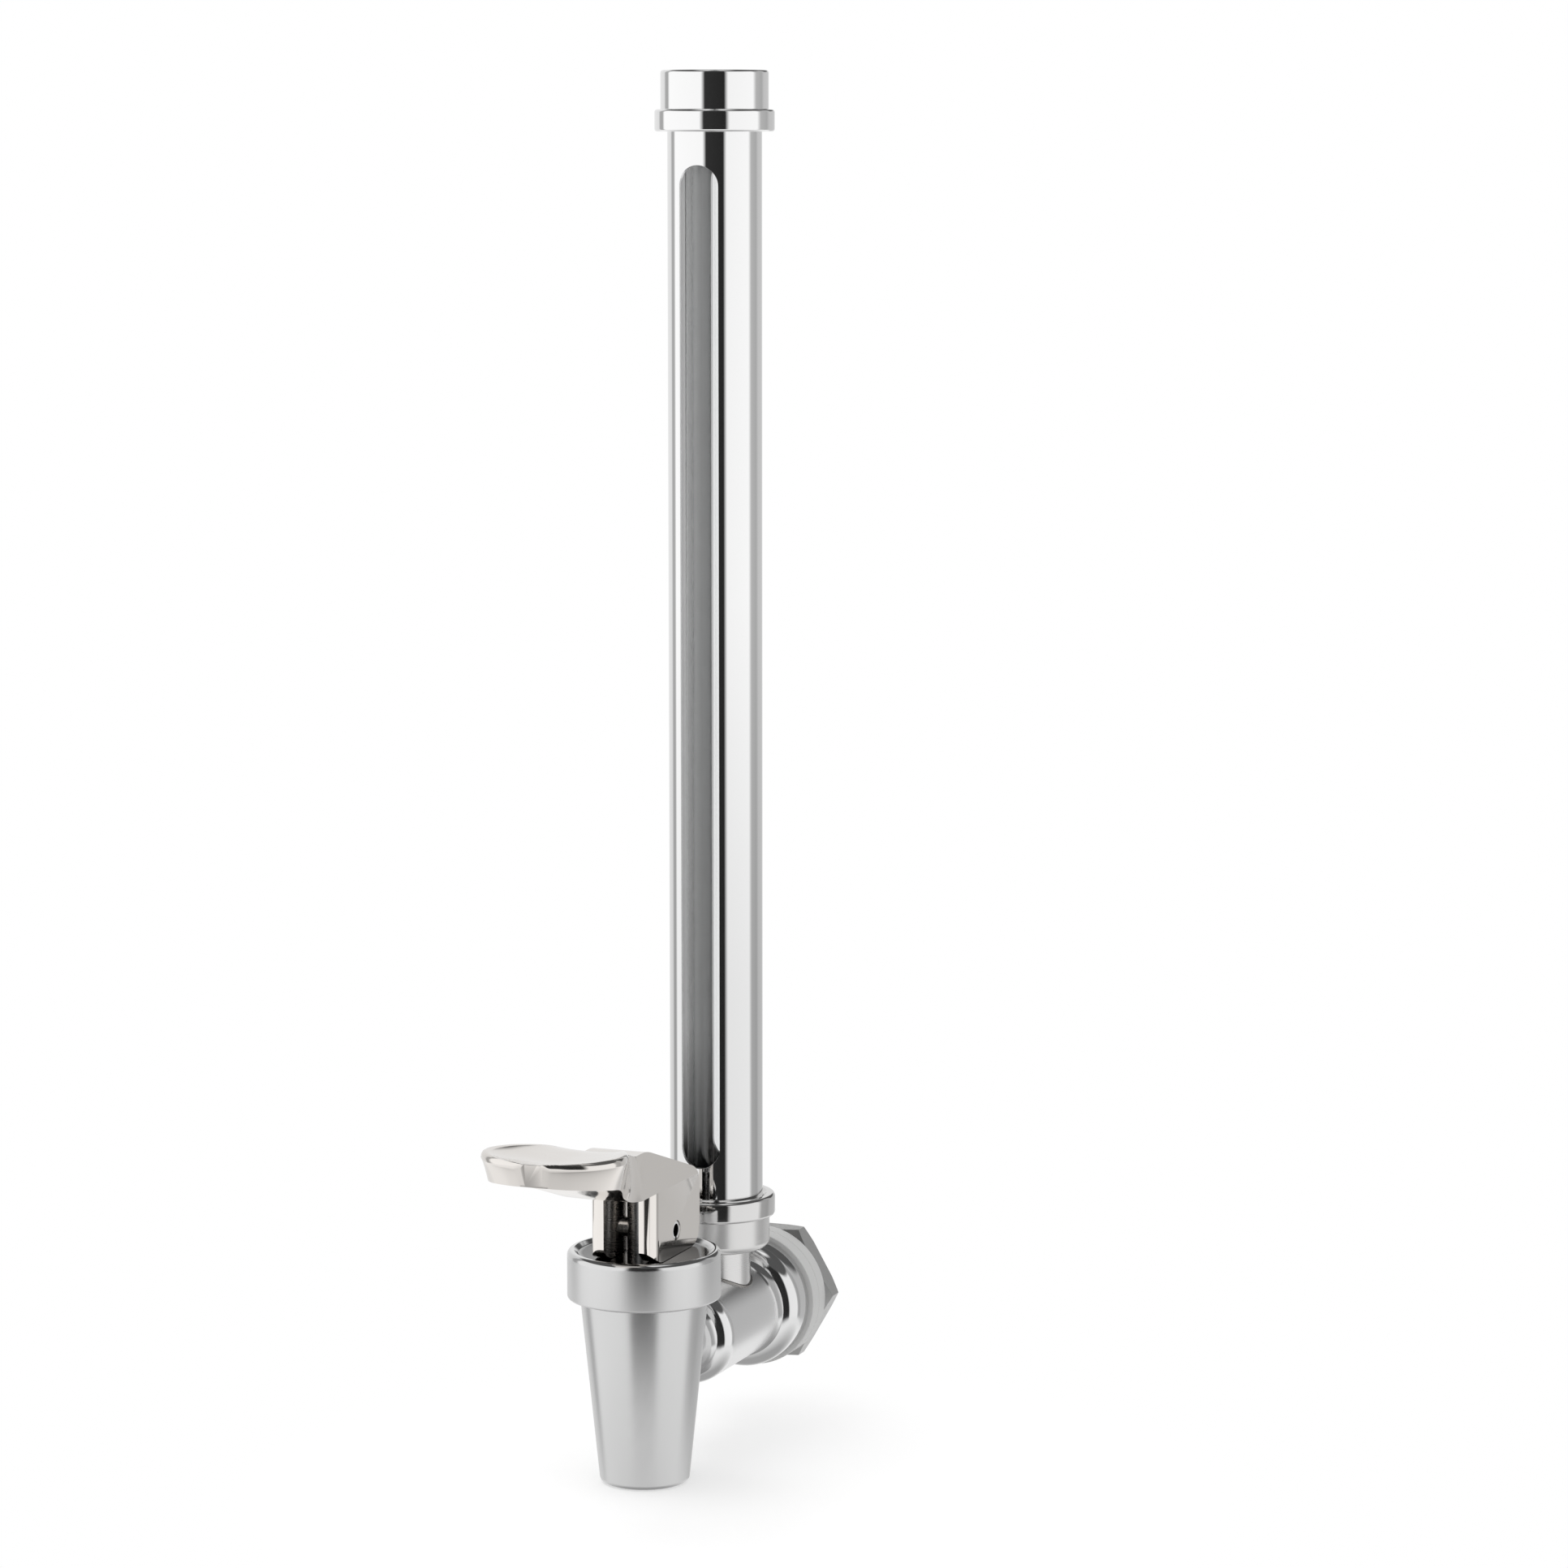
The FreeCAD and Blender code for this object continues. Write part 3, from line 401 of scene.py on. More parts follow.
satin = Finish("cast_steel", Base_Color=STEEL, Metallic=1.0)
# Painted light and shade: the casting is one steel, but its base colour is painted darker on the
# spout and lighter along the barrel and its beads.
satin.set("Base Color", satin.along("Y", [
    (-60.0, 0.645), (shoulder - cove - 5.0, 0.645), (shoulder - cove, 0.74),
    (shoulder + 3.0, 0.80), (flange - cove, 0.80), (0.0, 0.72)]))
polish_line = satin.along("Y", [
    (-60.0, 0.25), (shoulder - cove - 5.0, 0.25), (shoulder - cove - 2.0, 0.10),
    (shoulder + 1.6, 0.10), (shoulder + 3.4, 0.30), (flange - cove - 0.4, 0.30),
    (flange - cove, 0.09), (0.0, 0.09), (0.4, 0.36), (shank_end, 0.36)])
satin.vary("Roughness", polish_line, satin.grain((90, 2600, 260)), 0.05)
satin.dent(satin.grain((1500, 1500, 60)), 0.004, 0.35)
thread_lead, thread_tail = 0.6, 0.4
grow(tap_body, thread, satin.material, Radius=shank_radius * MM, Pitch=thread_pitch * MM,
     Depth=thread_depth * MM, From=thread_lead * MM, To=(shank_end - thread_tail) * MM)
smooth_over(tap_body, 32)
dress(tap_body, satin.material, "tap", "tap_body", slot="cast_steel")


# Stem bush, O-ring and gasket. A white plastic bush guides the stem under the bonnet, with
# a rubber ring above it in the gland, and a flat rubber gasket seals the bonnet's rim.

roof_under, bush_radius, bush_foot, bush_neck = 18.6, 3.36, 14.4, 4.25
bush_collar, collar_under = 8.2, 17.4
plastic = Finish("bush_plastic", Base_Color=(0.82, 0.82, 0.80, 1), Roughness=0.42)
plastic.dent(plastic.grain((700, 700, 700)), 0.01, 0.3)
bush = turned("stem_guide", [
    (bush_radius, bush_foot, 0.2), (bush_neck, bush_foot, 0.3), (bush_neck, collar_under),
    (bush_collar, collar_under, 0.2), (bush_collar, roof_under), (bush_radius, roof_under)],
    along=tap_y, around=96)
dress(bush, plastic.material, "tap", "stem_bush", slot="bush_plastic")

rubber = Finish("seal_rubber", Base_Color=(0.022, 0.022, 0.024, 1), Roughness=0.52)
rubber.dent(rubber.grain((900, 900, 900)), 0.01, 0.35)
ring_section, ring_level = 0.85, 19.6
ring_reach = bush_radius + ring_section
oring = turned("gland_ring", [
    (ring_reach + ring_section * math.cos(a * math.pi / 12),
     ring_level + ring_section * math.sin(a * math.pi / 12)) for a in range(24)],
    along=tap_y, around=96)
dress(oring, rubber.material, "tap", "stem_oring", slot="seal_rubber")
gasket_bore, gasket_radius = 9.3, 11.85
gasket = turned("rim_gasket", [
    (gasket_bore, mouth_top), (gasket_radius, mouth_top, 0.3),
    (gasket_radius, roof_under, 0.3), (gasket_bore, roof_under)], along=tap_y, around=96)
dress(gasket, rubber.material, "tap", "bonnet_gasket", slot="seal_rubber")


# Bonnet. A turned steel cap screws over the chamber's mouth. Its side is brushed upright
# and its shallow dish is polished, with a hole in the middle for the stem.

bonnet_radius, bonnet_top, dish_floor, dish_radius, rim_inside = 15.3, 22.8, 22.0, 13.0, 14.0
gland_radius, gland_top, thread_room = 5.1, 20.6, 0.1
bonnet = turned("bonnet", [
    (bush_radius, dish_floor, 0.15), (dish_radius, dish_floor, 0.7),
    (rim_inside, bonnet_top, 0.35),
    (bonnet_radius, bonnet_top, 1.1), (bonnet_radius, bonnet_seat, 0.5),
    (mouth_radius + thread_room, bonnet_seat), (mouth_radius + thread_room, roof_under),
    (gland_radius, roof_under), (gland_radius, gland_top), (bush_radius, gland_top)],
    along=tap_y, around=160)
brushed = Finish("bonnet_steel", Base_Color=STEEL, Metallic=1.0)
streaks = brushed.grain((1400, 1400, 45))
polish_line = brushed.along("Z", [
    (bonnet_seat, 0.36), (21.4, 0.34), (21.8, 0.09), (bonnet_top, 0.05)])
brushed.set("Roughness", reckon(brushed.tree, "MULTIPLY_ADD", streaks, 0.07, polish_line))
brushed.dent(streaks, 0.003, 0.30)
tone = brushed.along("Z", [(bonnet_seat, 0.69), (22.55, 0.69), (22.75, 0.80)])
# The dish's base colour is painted nearly black towards the middle: a painted dark reflection,
# which fades out at the dish's edge.
painted_dark_reflection = brushed.change(brushed.from_axis((0, tap_y, 0), (1, 1, 0)),
                            dish_radius - 0.8, dish_radius + 0.6, 0.07, 1.0)
brushed.set("Base Color", reckon(brushed.tree, "MULTIPLY", tone, painted_dark_reflection))
dress(bonnet, brushed.material, "tap", "bonnet_cap", slot="satin_steel")


# Return spring and its thrust washer. The spring is wound from round steel wire with closed
# ends; it pushes the stem's collar down from a flat steel washer under the bush.

thrust_bore, thrust_radius, thrust_foot, thrust_top = 4.31, 7.7, 16.45, 17.35
thrust = turned("spring_seat_washer", [
    (thrust_bore, thrust_foot, 0.15), (thrust_radius, thrust_foot, 0.15),
    (thrust_radius, thrust_top, 0.15), (thrust_bore, thrust_top, 0.15)],
    along=tap_y, around=96)
bright = Finish("stem_steel", Base_Color=(0.22, 0.22, 0.22, 1), Metallic=1.0)
bright.vary("Roughness", 0.28, bright.grain((60, 60, 2200)), 0.08)
bright.dent(bright.grain((60, 60, 1800)), 0.002, 0.3)
dress(thrust, bright.material, "spring_seat", "thrust_washer", slot="stem_steel")

winding, given = new_tree("wound_wire", [
    "Radius", "Wire", "Height", "Turns", "Closed", "Centre", "Foot"])
course = add_node(winding, "GeometryNodeResampleCurve", {
    "Curve": add_node(winding, "GeometryNodeCurvePrimitiveLine")[0], "Count": 420})
part = add_node(winding, "GeometryNodeSplineParameter")["Factor"]
turns_done = reckon(winding, "MULTIPLY", part, given["Turns"])
angle = reckon(winding, "MULTIPLY", turns_done, 2 * math.pi)
last_turns = reckon(winding, "SUBTRACT", given["Turns"], given["Closed"])
open_share = add_node(winding, "ShaderNodeMapRange", {
    0: turns_done, 1: given["Closed"], 2: last_turns})[0]
closed_done = reckon(
    winding, "ADD", reckon(winding, "MINIMUM", turns_done, given["Closed"]),
    reckon(winding, "MAXIMUM", reckon(winding, "SUBTRACT", turns_done, last_turns), 0.0))
wires_a_turn = 2.06
climb = reckon(winding, "MULTIPLY", closed_done, reckon(
    winding, "MULTIPLY", given["Wire"], wires_a_turn))
ends_height = reckon(winding, "MULTIPLY", reckon(
    winding, "MULTIPLY", given["Closed"], given["Wire"]), 2 * wires_a_turn)
free = reckon(winding, "SUBTRACT", given["Height"], ends_height)
rise = reckon(winding, "ADD", climb, reckon(winding, "MULTIPLY", open_share, free))
path = add_node(winding, "ShaderNodeCombineXYZ", {
    0: reckon(winding, "MULTIPLY", given["Radius"], reckon(winding, "COSINE", angle)),
    1: reckon(winding, "ADD", given["Centre"], reckon(
        winding, "MULTIPLY", given["Radius"], reckon(winding, "SINE", angle))),
    2: reckon(winding, "ADD", given["Foot"], rise)})
laid = add_node(winding, "GeometryNodeSetPosition", {
    "Geometry": course[0], "Position": path[0]})
section = add_node(winding, "GeometryNodeCurvePrimitiveCircle", {
    "Resolution": 14, "Radius": given["Wire"]})
swept = add_node(winding, "GeometryNodeCurveToMesh", {
    "Curve": laid[0], "Profile Curve": section[0], "Fill Caps": True})
finish_tree(winding, given, swept[0])

spring_steel = Finish("spring_steel", Base_Color=(0.62, 0.61, 0.60, 1), Metallic=1.0)
spring_steel.vary("Roughness", 0.26, spring_steel.grain((900, 900, 900)), 0.10)
wire, coil_radius, coils, closed_coils = 0.45, 5.0, 7, 1
spring_foot, spring_head = -0.50, 16.40
spring = add_piece("return_spring", bpy.data.meshes.new("return_spring"))
grow(spring, winding, spring_steel.material, Radius=coil_radius * MM, Wire=wire * MM,
     Height=(spring_head - spring_foot - 2 * wire) * MM, Turns=coils, Closed=closed_coils,
     Centre=tap_y * MM, Foot=(spring_foot + wire) * MM)
smooth_over(spring, 50)
dress(spring, spring_steel.material, "spring_seat", "stem_spring", slot="spring_steel")
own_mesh(spring)


# Stem and seat plug. The steel stem slides through the bush and carries the lever's pin; the
# silicone plug is pushed over the barb at its foot and closes the valve seat.

stem_radius, stem_top, stem_chamfer, pin_level, pin_radius = 3.3, 34.18, 0.6, 26.98, 2.0
barb_foot, barb_step, barb_radius, barb_waist = -4.65, -3.45, 3.2, 2.0
collar_foot, collar_top, collar_radius = -1.95, -0.55, 6.0
stem = turned("sliding_stem", [
    (0, barb_foot), (barb_waist, barb_foot, 0.2), (barb_radius, barb_step),
    (barb_waist, barb_step), (barb_waist, collar_foot), (collar_radius, collar_foot, 0.2),
    (collar_radius, collar_top, 0.2), (stem_radius, collar_top, 0.2),
    (stem_radius, stem_top - stem_chamfer), (stem_radius - stem_chamfer, stem_top),
    (0, stem_top)], along=tap_y, around=96)


def rod_across(name, radius, length, along, up):
    """A plain round rod that lies across the tap, to drill holes with."""
    rod = turned(name, [(0, -length / 2), (radius, -length / 2),
                        (radius, length / 2), (0, length / 2)], around=48)
    rod.data.transform(Matrix.Translation(Vector((0, along, up)) * MM)
                       @ Matrix.Rotation(math.radians(90), 4, "Y"))
    return rod


pin_room, drill_length = 0.06, 20
combine(stem, rod_across("stem_drill", pin_radius + pin_room, drill_length, tap_y, pin_level),
        "DIFFERENCE")
smooth_over(stem)
dress(stem, bright.material, "stem", "stem", slot="stem_steel")

silicone = Finish("plug_silicone", Base_Color=(0.78, 0.78, 0.76, 1), Roughness=0.48)
silicone.shader.inputs["Subsurface Weight"].default_value = 0.15
silicone.shader.inputs["Subsurface Scale"].default_value = 0.002
silicone.dent(silicone.grain((800, 800, 800)), 0.012, 0.35)
plug_radius, plug_foot = 6.8, -6.75
plug = turned("seat_seal", [
    (0, plug_foot), (plug_radius, plug_foot, 0.8), (plug_radius, collar_foot, 0.8),
    (barb_waist, collar_foot), (barb_waist, barb_step), (barb_radius, barb_step),
    (barb_waist, barb_foot), (0, barb_foot)], along=tap_y, around=96)
dress(plug, silicone.material, "stem", "seat_plug", slot="silicone")


# Lever. A cast and polished handle: two cheeks straddle the stem and roll on the dish, a
# crowned head joins them, and the arm narrows to a waist and spreads into a scooped pad.

cheek_half, ridge_half, slot_half = 7.0, 5.7, 3.75
skirt, crown, foot, toe_round, cam = 9.4, 18.2, -4.9, 6.0, 6.771
cheek_front, head_front, cheek_back, corner_round = 11.6, 17.5, 12.1, 2.5
back_shoulder, back_round, crown_start, crown_round = 10.3, 4.5, 12.0, 14.0


def prism(name, outline, half_length, along):
    """A closed outline pushed out both ways along an axis, from its other two places."""
    place = "XYZ".index(along)
    return skin(name, [[(*spot[:place], side, *spot[place:]) for spot in outline]
                       for side in (-half_length, half_length)])


toe_centre = foot + toe_round
toe_turn = math.asin((cheek_front - cam) / toe_round)
toe = [(-(cam + toe_round * math.sin(toe_turn * k / 8)),
        toe_centre - toe_round * math.cos(toe_turn * k / 8)) for k in range(8, -1, -1)]
side_line = rounded([
    (cheek_back, foot, 4.2), (cheek_back, back_shoulder, back_round),
    (-crown_start, crown, crown_round), (-head_front, crown), (-head_front, skirt),
    (-cheek_front, skirt), *toe], steps=12)
lever = prism("lever_handle", side_line, cheek_half, "X")
front_line = [(-cheek_half, foot - past), (-slot_half, foot - past), (-slot_half, skirt),
              (slot_half, skirt), (slot_half, foot - past), (cheek_half, foot - past),
              (cheek_half, skirt), (ridge_half, crown), (ridge_half, crown + past),
              (-ridge_half, crown + past), (-ridge_half, crown), (-cheek_half, skirt)]
front_half = 30
combine(lever, prism("head_front", front_line, front_half, "Y"), "INTERSECT")


def ease_edges(piece, width, segments=3, over=35):
    """Rounds every edge that turns by more than the angle, and keeps it as plain mesh."""
    work = piece.modifiers.new("edges", "BEVEL")
    work.width = width * MM
    work.segments = segments
    work.limit_method = "ANGLE"
    work.angle_limit = math.radians(over)
    return settle(piece)


# The cheeks' upright front corners are rounded by cutting away what lies outside the arc;
# the cutter is drawn lying down and then turned upright.
arc_across, arc_ahead = cheek_half - corner_round, cheek_front - corner_round
for side in (-1, 1):
    waste = [(side * (arc_across + corner_round * math.cos(k * math.pi / 16)),
              arc_ahead + corner_round * math.sin(k * math.pi / 16)) for k in range(9)]
    waste += [(side * arc_across, cheek_front + past),
              (side * (cheek_half + past), cheek_front + past),
              (side * (cheek_half + past), arc_ahead)]
    cutter = prism("corner", waste, (skirt - foot + past) / 2, "Y")
    cutter.data.transform(Matrix.Translation((0, 0, (skirt + foot - past) / 2 * MM))
                          @ Matrix.Rotation(math.radians(90), 4, "X"))
    combine(lever, cutter, "DIFFERENCE")
ease_edges(lever, width=0.6, segments=4)

# The arm's sections: forward of the pin, half widths at rim and sole, heights of rim and
# sole, how far the side bulges and how deep the pad is scooped.
arm_stations = [
    (15.6, 5.70, 6.99, 18.17, 9.41, 0.02, -0.02),
    (17.5, 5.7, 6.99, 18.2, 9.41, 0.05, -0.05),
    (22.5, 6.2, 6.7, 19.7, 10.2, 0.3, 0.1),
    (29.0, 8.8, 8.0, 21.7, 12.4, 0.4, 0.8),
    (36.0, 12.0, 10.7, 23.0, 15.1, 0.2, 1.8),
    (42.0, 14.0, 12.6, 23.6, 17.0, 0.15, 2.3),
    (46.5, 13.9, 12.6, 23.8, 17.8, 0.15, 2.0),
    (50.5, 11.2, 10.1, 23.7, 18.2, 0.15, 1.2),
    (53.2, 7.2, 6.3, 23.6, 18.5, 0.1, 0.4),
    (54.4, 4.0, 3.4, 23.5, 18.7, 0.1, 0.1),
    (54.7, 2.2, 1.8, 23.4, 18.9, 0.1, 0.05),
]


def between(stations, share):
    """A smooth curve through the stations, at a share of the way along them."""
    spot = share * (len(stations) - 1)
    k = min(int(spot), len(stations) - 2)
    t = spot - k
    a, b, c, d = (stations[max(0, min(len(stations) - 1, k + j))] for j in (-1, 0, 1, 2))
    return [0.5 * (2 * q + (r - p) * t + (2 * p - 5 * q + 4 * r - s) * t * t
                   + (3 * q - p - 3 * r + s) * t ** 3) for p, q, r, s in zip(a, b, c, d)]


def through(start, middle, end, count):
    """Points on the curve from start to end that passes through the middle."""
    bend = [2 * m - (s + e) / 2 for s, m, e in zip(start, middle, end)]
    return [tuple((1 - t) ** 2 * s + 2 * t * (1 - t) * b + t * t * e
                  for s, b, e in zip(start, bend, end))
            for t in (k / count for k in range(count))]


rim_round, round_gain, gain_start, gain_length = 0.3, 1.1, 20, 14


def arm_section(reach, rim, sole, rim_up, sole_up, bulge, scoop):
    """One closed section of the arm, as (across, up), with a small round at the rim."""
    ease = rim_round + round_gain * max(0.0, min(1.0, (reach - gain_start) / gain_length))
    ease = min(ease, rim * 0.35)
    waist = ((rim + sole) / 2 + bulge, (rim_up + sole_up) / 2)
    low = sole_up - 0.4 * bulge
    half = through((0.0, rim_up - scoop), (rim * 0.55, rim_up - scoop * 0.62),
                   (rim - ease, rim_up), 12)
    half += through((rim - ease, rim_up), (rim - ease * 0.2, rim_up - ease * 0.2),
                    (rim + ease * 0.1, rim_up - ease), 4)
    half += through((rim + ease * 0.1, rim_up - ease), waist, (sole, sole_up), 16)
    half += through((sole, sole_up), (sole * 0.55, low + (sole_up - low) * 0.4), (0.0, low), 8)
    half.append((0.0, low))
    return half + [(-x, z) for x, z in half[-2:0:-1]]


arm_steps, tip_lean, lean_start = 90, 0.27, 46.0
arm_reach = arm_stations[-1][0]
arm_rings = []
for step in range(arm_steps + 1):
    station = between(arm_stations, step / arm_steps)
    reach, rim_up = station[0], station[3]
    lean = tip_lean * max(0.0, (reach - lean_start) / (arm_reach - lean_start))
    arm_rings.append([(across, -reach + lean * (rim_up - up), up)
                      for across, up in arm_section(*station)])
combine(lever, skin("arm", arm_rings), "UNION")
ease_edges(lever, width=0.12, segments=2, over=50)
lever.data.transform(Matrix.Translation(Vector((0, tap_y, pin_level)) * MM))
combine(lever, rod_across("lever_drill", pin_radius, drill_length, tap_y, pin_level),
        "DIFFERENCE")
smooth_over(lever, 40)
for edge in lever.data.edges:
    ends = [lever.data.vertices[k].co for k in edge.vertices]
    on_crease = all(abs(end.z / MM - pin_level - skirt) < 0.02
                    and abs(abs(end.x / MM) - cheek_half) < 0.05 for end in ends)
    edge.use_edge_sharp = edge.use_edge_sharp or on_crease
buffed = Finish("lever_steel", Base_Color=(0.82, 0.785, 0.75, 1), Metallic=1.0)
buffed.vary("Roughness", 0.10, buffed.grain((120, 120, 120)), 0.05)
buffed.dent(buffed.grain((140, 140, 140), 1.0), 0.02, 0.25)
dress(lever, buffed.material, "lever", "lever", slot="polished_steel")


# Lever pin. A slotted spring pin, rolled from hard steel strip, is pressed through both
# cheeks and the stem, and the lever tilts on it.

pin_wall, pin_half, slit_half, slit_reach = 0.75, 6.85, 0.35, 8
pin_bore = pin_radius - pin_wall
pin = turned("spring_pin", [
    (pin_bore, -pin_half, 0.1), (pin_radius, -pin_half, 0.2),
    (pin_radius, pin_half, 0.2), (pin_bore, pin_half, 0.1)], around=48)
pin.data.transform(Matrix.Translation(Vector((0, tap_y, pin_level)) * MM)
                   @ Matrix.Rotation(math.radians(90), 4, "Y"))
slit_foot = pin_level - 2 * pin_radius
combine(pin, prism("slit", [
    (tap_y - slit_half, slit_foot), (tap_y + slit_half, slit_foot),
    (tap_y + slit_half, pin_level), (tap_y - slit_half, pin_level)], slit_reach, "X"),
    "DIFFERENCE")
smooth_over(pin)
pin_steel = Finish("pin_steel", Base_Color=(0.66, 0.65, 0.64, 1), Metallic=1.0)
pin_steel.vary("Roughness", 0.22, pin_steel.grain((900, 900, 900)), 0.10)
from_pin = pin_steel.from_axis((0, tap_y, pin_level), (0, 1, 1))
# The bore of the pin is painted nearly black: painted shade inside the hollow pin.
pin_steel.set("Base Color", pin_steel.change(
    from_pin, pin_bore + 0.02, pin_bore + 0.12, 0.03, 0.95))
dress(pin, pin_steel.material, "lever", "lever_pin", slot="spring_steel")


# Lower socket of the gauge. A turned steel cup on a short neck, brazed into a saddle on
# top of the barrel; its rim is buffed and a silicone seal inside grips the glass.

neck_radius, cup_radius, rim_radius = 6.95, 10.9, 12.05
cup_under, cup_top, rim_top, tube_foot = 15.2, 22.1, 26.5, 23.6
tube_seat, seal_radius, seal_foot, lead_chamfer = 9.6, 7.4, 18.2, 0.8
saddle_room, saddle_half = 0.02, 20
socket = turned("gauge_socket", [
    (gauge_port, 0), (neck_radius, 0), (neck_radius, cup_under, 0.5),
    (cup_radius, cup_under, 1.7), (cup_radius, cup_top, 0.15), (rim_radius, cup_top, 0.6),
    (rim_radius, rim_top, 0.8), (tube_seat + lead_chamfer, rim_top, 0.25),
    (tube_seat, rim_top - lead_chamfer), (tube_seat, tube_foot), (seal_radius, tube_foot),
    (seal_radius, seal_foot), (gauge_port, seal_foot)], along=gauge_y, around=160)
combine(socket, turned("saddle", [
    (0, -saddle_half), (barrel_radius + saddle_room, -saddle_half),
    (barrel_radius + saddle_room, saddle_half), (0, saddle_half)],
    along=gauge_y, lying=True, around=192), "DIFFERENCE")
smooth_over(socket)
socket_steel = Finish("socket_steel", Base_Color=STEEL, Metallic=1.0)
socket_line = socket_steel.along("Z", [
    (9.0, 0.26), (14.8, 0.24), (16.2, 0.24), (cup_top - 0.1, 0.24), (cup_top + 0.1, 0.07),
    (rim_top, 0.05)])
socket_steel.set("Roughness", reckon(
    socket_steel.tree, "MULTIPLY_ADD", socket_steel.grain((60, 60, 1800)), 0.05, socket_line))
dress(socket, socket_steel.material, "tap", "lower_socket", slot="satin_steel")

braze, given = new_tree("saddle_bead", ["Reach", "Barrel", "Section", "Centre"])
loop = add_node(braze, "GeometryNodeCurvePrimitiveCircle", {
    "Resolution": 120, "Radius": given["Reach"]})
loop_split = add_node(braze, "ShaderNodeSeparateXYZ", {
    0: add_node(braze, "GeometryNodeInputPosition")[0]})
saddle_level = reckon(braze, "SQRT", reckon(
    braze, "SUBTRACT", reckon(braze, "MULTIPLY", given["Barrel"], given["Barrel"]),
    reckon(braze, "MULTIPLY", loop_split[0], loop_split[0])))
laid = add_node(braze, "GeometryNodeSetPosition", {
    "Geometry": loop[0], "Position": add_node(braze, "ShaderNodeCombineXYZ", {
        0: loop_split[0], 1: reckon(braze, "ADD", loop_split[1], given["Centre"]),
        2: saddle_level})[0]})
swept = add_node(braze, "GeometryNodeCurveToMesh", {
    "Curve": laid[0], "Profile Curve": add_node(braze, "GeometryNodeCurvePrimitiveCircle", {
        "Resolution": 12, "Radius": given["Section"]})[0]})
finish_tree(braze, given, swept[0])
# The braze ring's dark base colour is partly the braze's own and partly painted shade, for the
# dark crevice where the neck meets the barrel.
braze_and_crevice_shade = Finish("braze_and_crevice_shade", Base_Color=(0.30, 0.29, 0.28, 1), Metallic=1.0)
braze_and_crevice_shade.vary("Roughness", 0.28, braze_and_crevice_shade.grain((1200, 1200, 1200)), 0.2)
braze_and_crevice_shade.dent(braze_and_crevice_shade.grain((900, 900, 900)), 0.08, 0.5)
bead_section, bead_out, bead_up = 0.34, 0.12, 0.06
bead = add_piece("neck_braze", bpy.data.meshes.new("neck_braze"))
grow(bead, braze, braze_and_crevice_shade.material, Reach=(neck_radius + bead_out) * MM,
     Barrel=(barrel_radius + bead_up) * MM, Section=bead_section * MM, Centre=gauge_y * MM)
smooth_over(bead, 60)
dress(bead, braze_and_crevice_shade.material, "tap")


# Seals and sight glass. A clear glass tube stands in the lower silicone seal and is capped
# by the upper one, and shows how full the vessel is.

seal_hole, glass_radius, glass_wall, glass_room, lip_height = 3.6, 6.0, 1.5, 0.05, 0.3
glass_foot, glass_head, tube_head, seal_head = 19.6, 249.6, 245.6, 251.0
for name, node, end, floor, lip in (
        ("lower_glass_seal", "lower_seal", seal_foot, glass_foot, tube_foot - lip_height),
        ("upper_glass_seal", "upper_seal", seal_head, glass_head, tube_head + lip_height)):
    seal = turned(name, [
        (seal_hole, end), (seal_radius, end), (seal_radius, lip, 0.4),
        (glass_radius + glass_room, lip, 0.2), (glass_radius + glass_room, floor),
        (seal_hole, floor)], along=gauge_y, around=96)
    dress(seal, silicone.material, "tap", node, slot="silicone")

glass = turned("gauge_tube", [
    (glass_radius - glass_wall, glass_foot, 0.3), (glass_radius, glass_foot, 0.3),
    (glass_radius, glass_head, 0.3), (glass_radius - glass_wall, glass_head, 0.3)],
    along=gauge_y, around=96)
clear = Finish("gauge_glass", Base_Color=(0.985, 0.99, 0.99, 1), Roughness=0.0)
clear.shader.inputs["Transmission Weight"].default_value = 1.0
clear.shader.inputs["IOR"].default_value = 1.47
dress(glass, clear.material, "tap", "sight_glass", slot="gauge_glass")


# Shield tube. A mirror-polished steel tube guards the glass; a long slot with round ends
# is milled through it at the front and another at the back.

tube_radius, tube_wall, tube_step = 9.5, 1.0, 12.0
window_half, window_margin, window_steps, window_reach = 4.15, 9.5, 24, 12
tube = turned("shield", [
    (tube_radius - tube_wall, tube_foot), (tube_radius, tube_foot),
    *spread((tube_radius, tube_foot + 0.01), (tube_radius, tube_head), tube_step),
    (tube_radius, tube_head), (tube_radius - tube_wall, tube_head)],
    along=gauge_y, around=192)
low_centre = tube_foot + window_margin + window_half
high_centre = tube_head - window_margin - window_half
arc = [math.pi * k / window_steps for k in range(window_steps + 1)]
window_line = [(window_half * math.cos(a), high_centre + window_half * math.sin(a)) for a in arc]
window_line += [(-window_half * math.cos(a), low_centre - window_half * math.sin(a)) for a in arc]
window = prism("window", window_line, window_reach, "Y")
window.data.transform(Matrix.Translation((0, gauge_y * MM, 0)))
combine(tube, window, "DIFFERENCE")


def true_normals(piece, along, flat_below):
    """Shades the round faces as an exact cylinder, and leaves the cut edges flat."""
    mesh = piece.data
    normals = []
    for face in mesh.polygons:
        centre = Vector((face.center.x, face.center.y - along * MM, 0)).normalized()
        facing = face.normal.dot(centre)
        is_round, side = abs(facing) > flat_below, 1 if facing > 0 else -1
        for corner in face.loop_indices:
            spot = mesh.vertices[mesh.loops[corner].vertex_index].co
            out = Vector((spot.x, spot.y - along * MM, 0)).normalized()
            normals.append(out * side if is_round else face.normal)
    mesh.normals_split_custom_set([n.normalized() for n in normals])


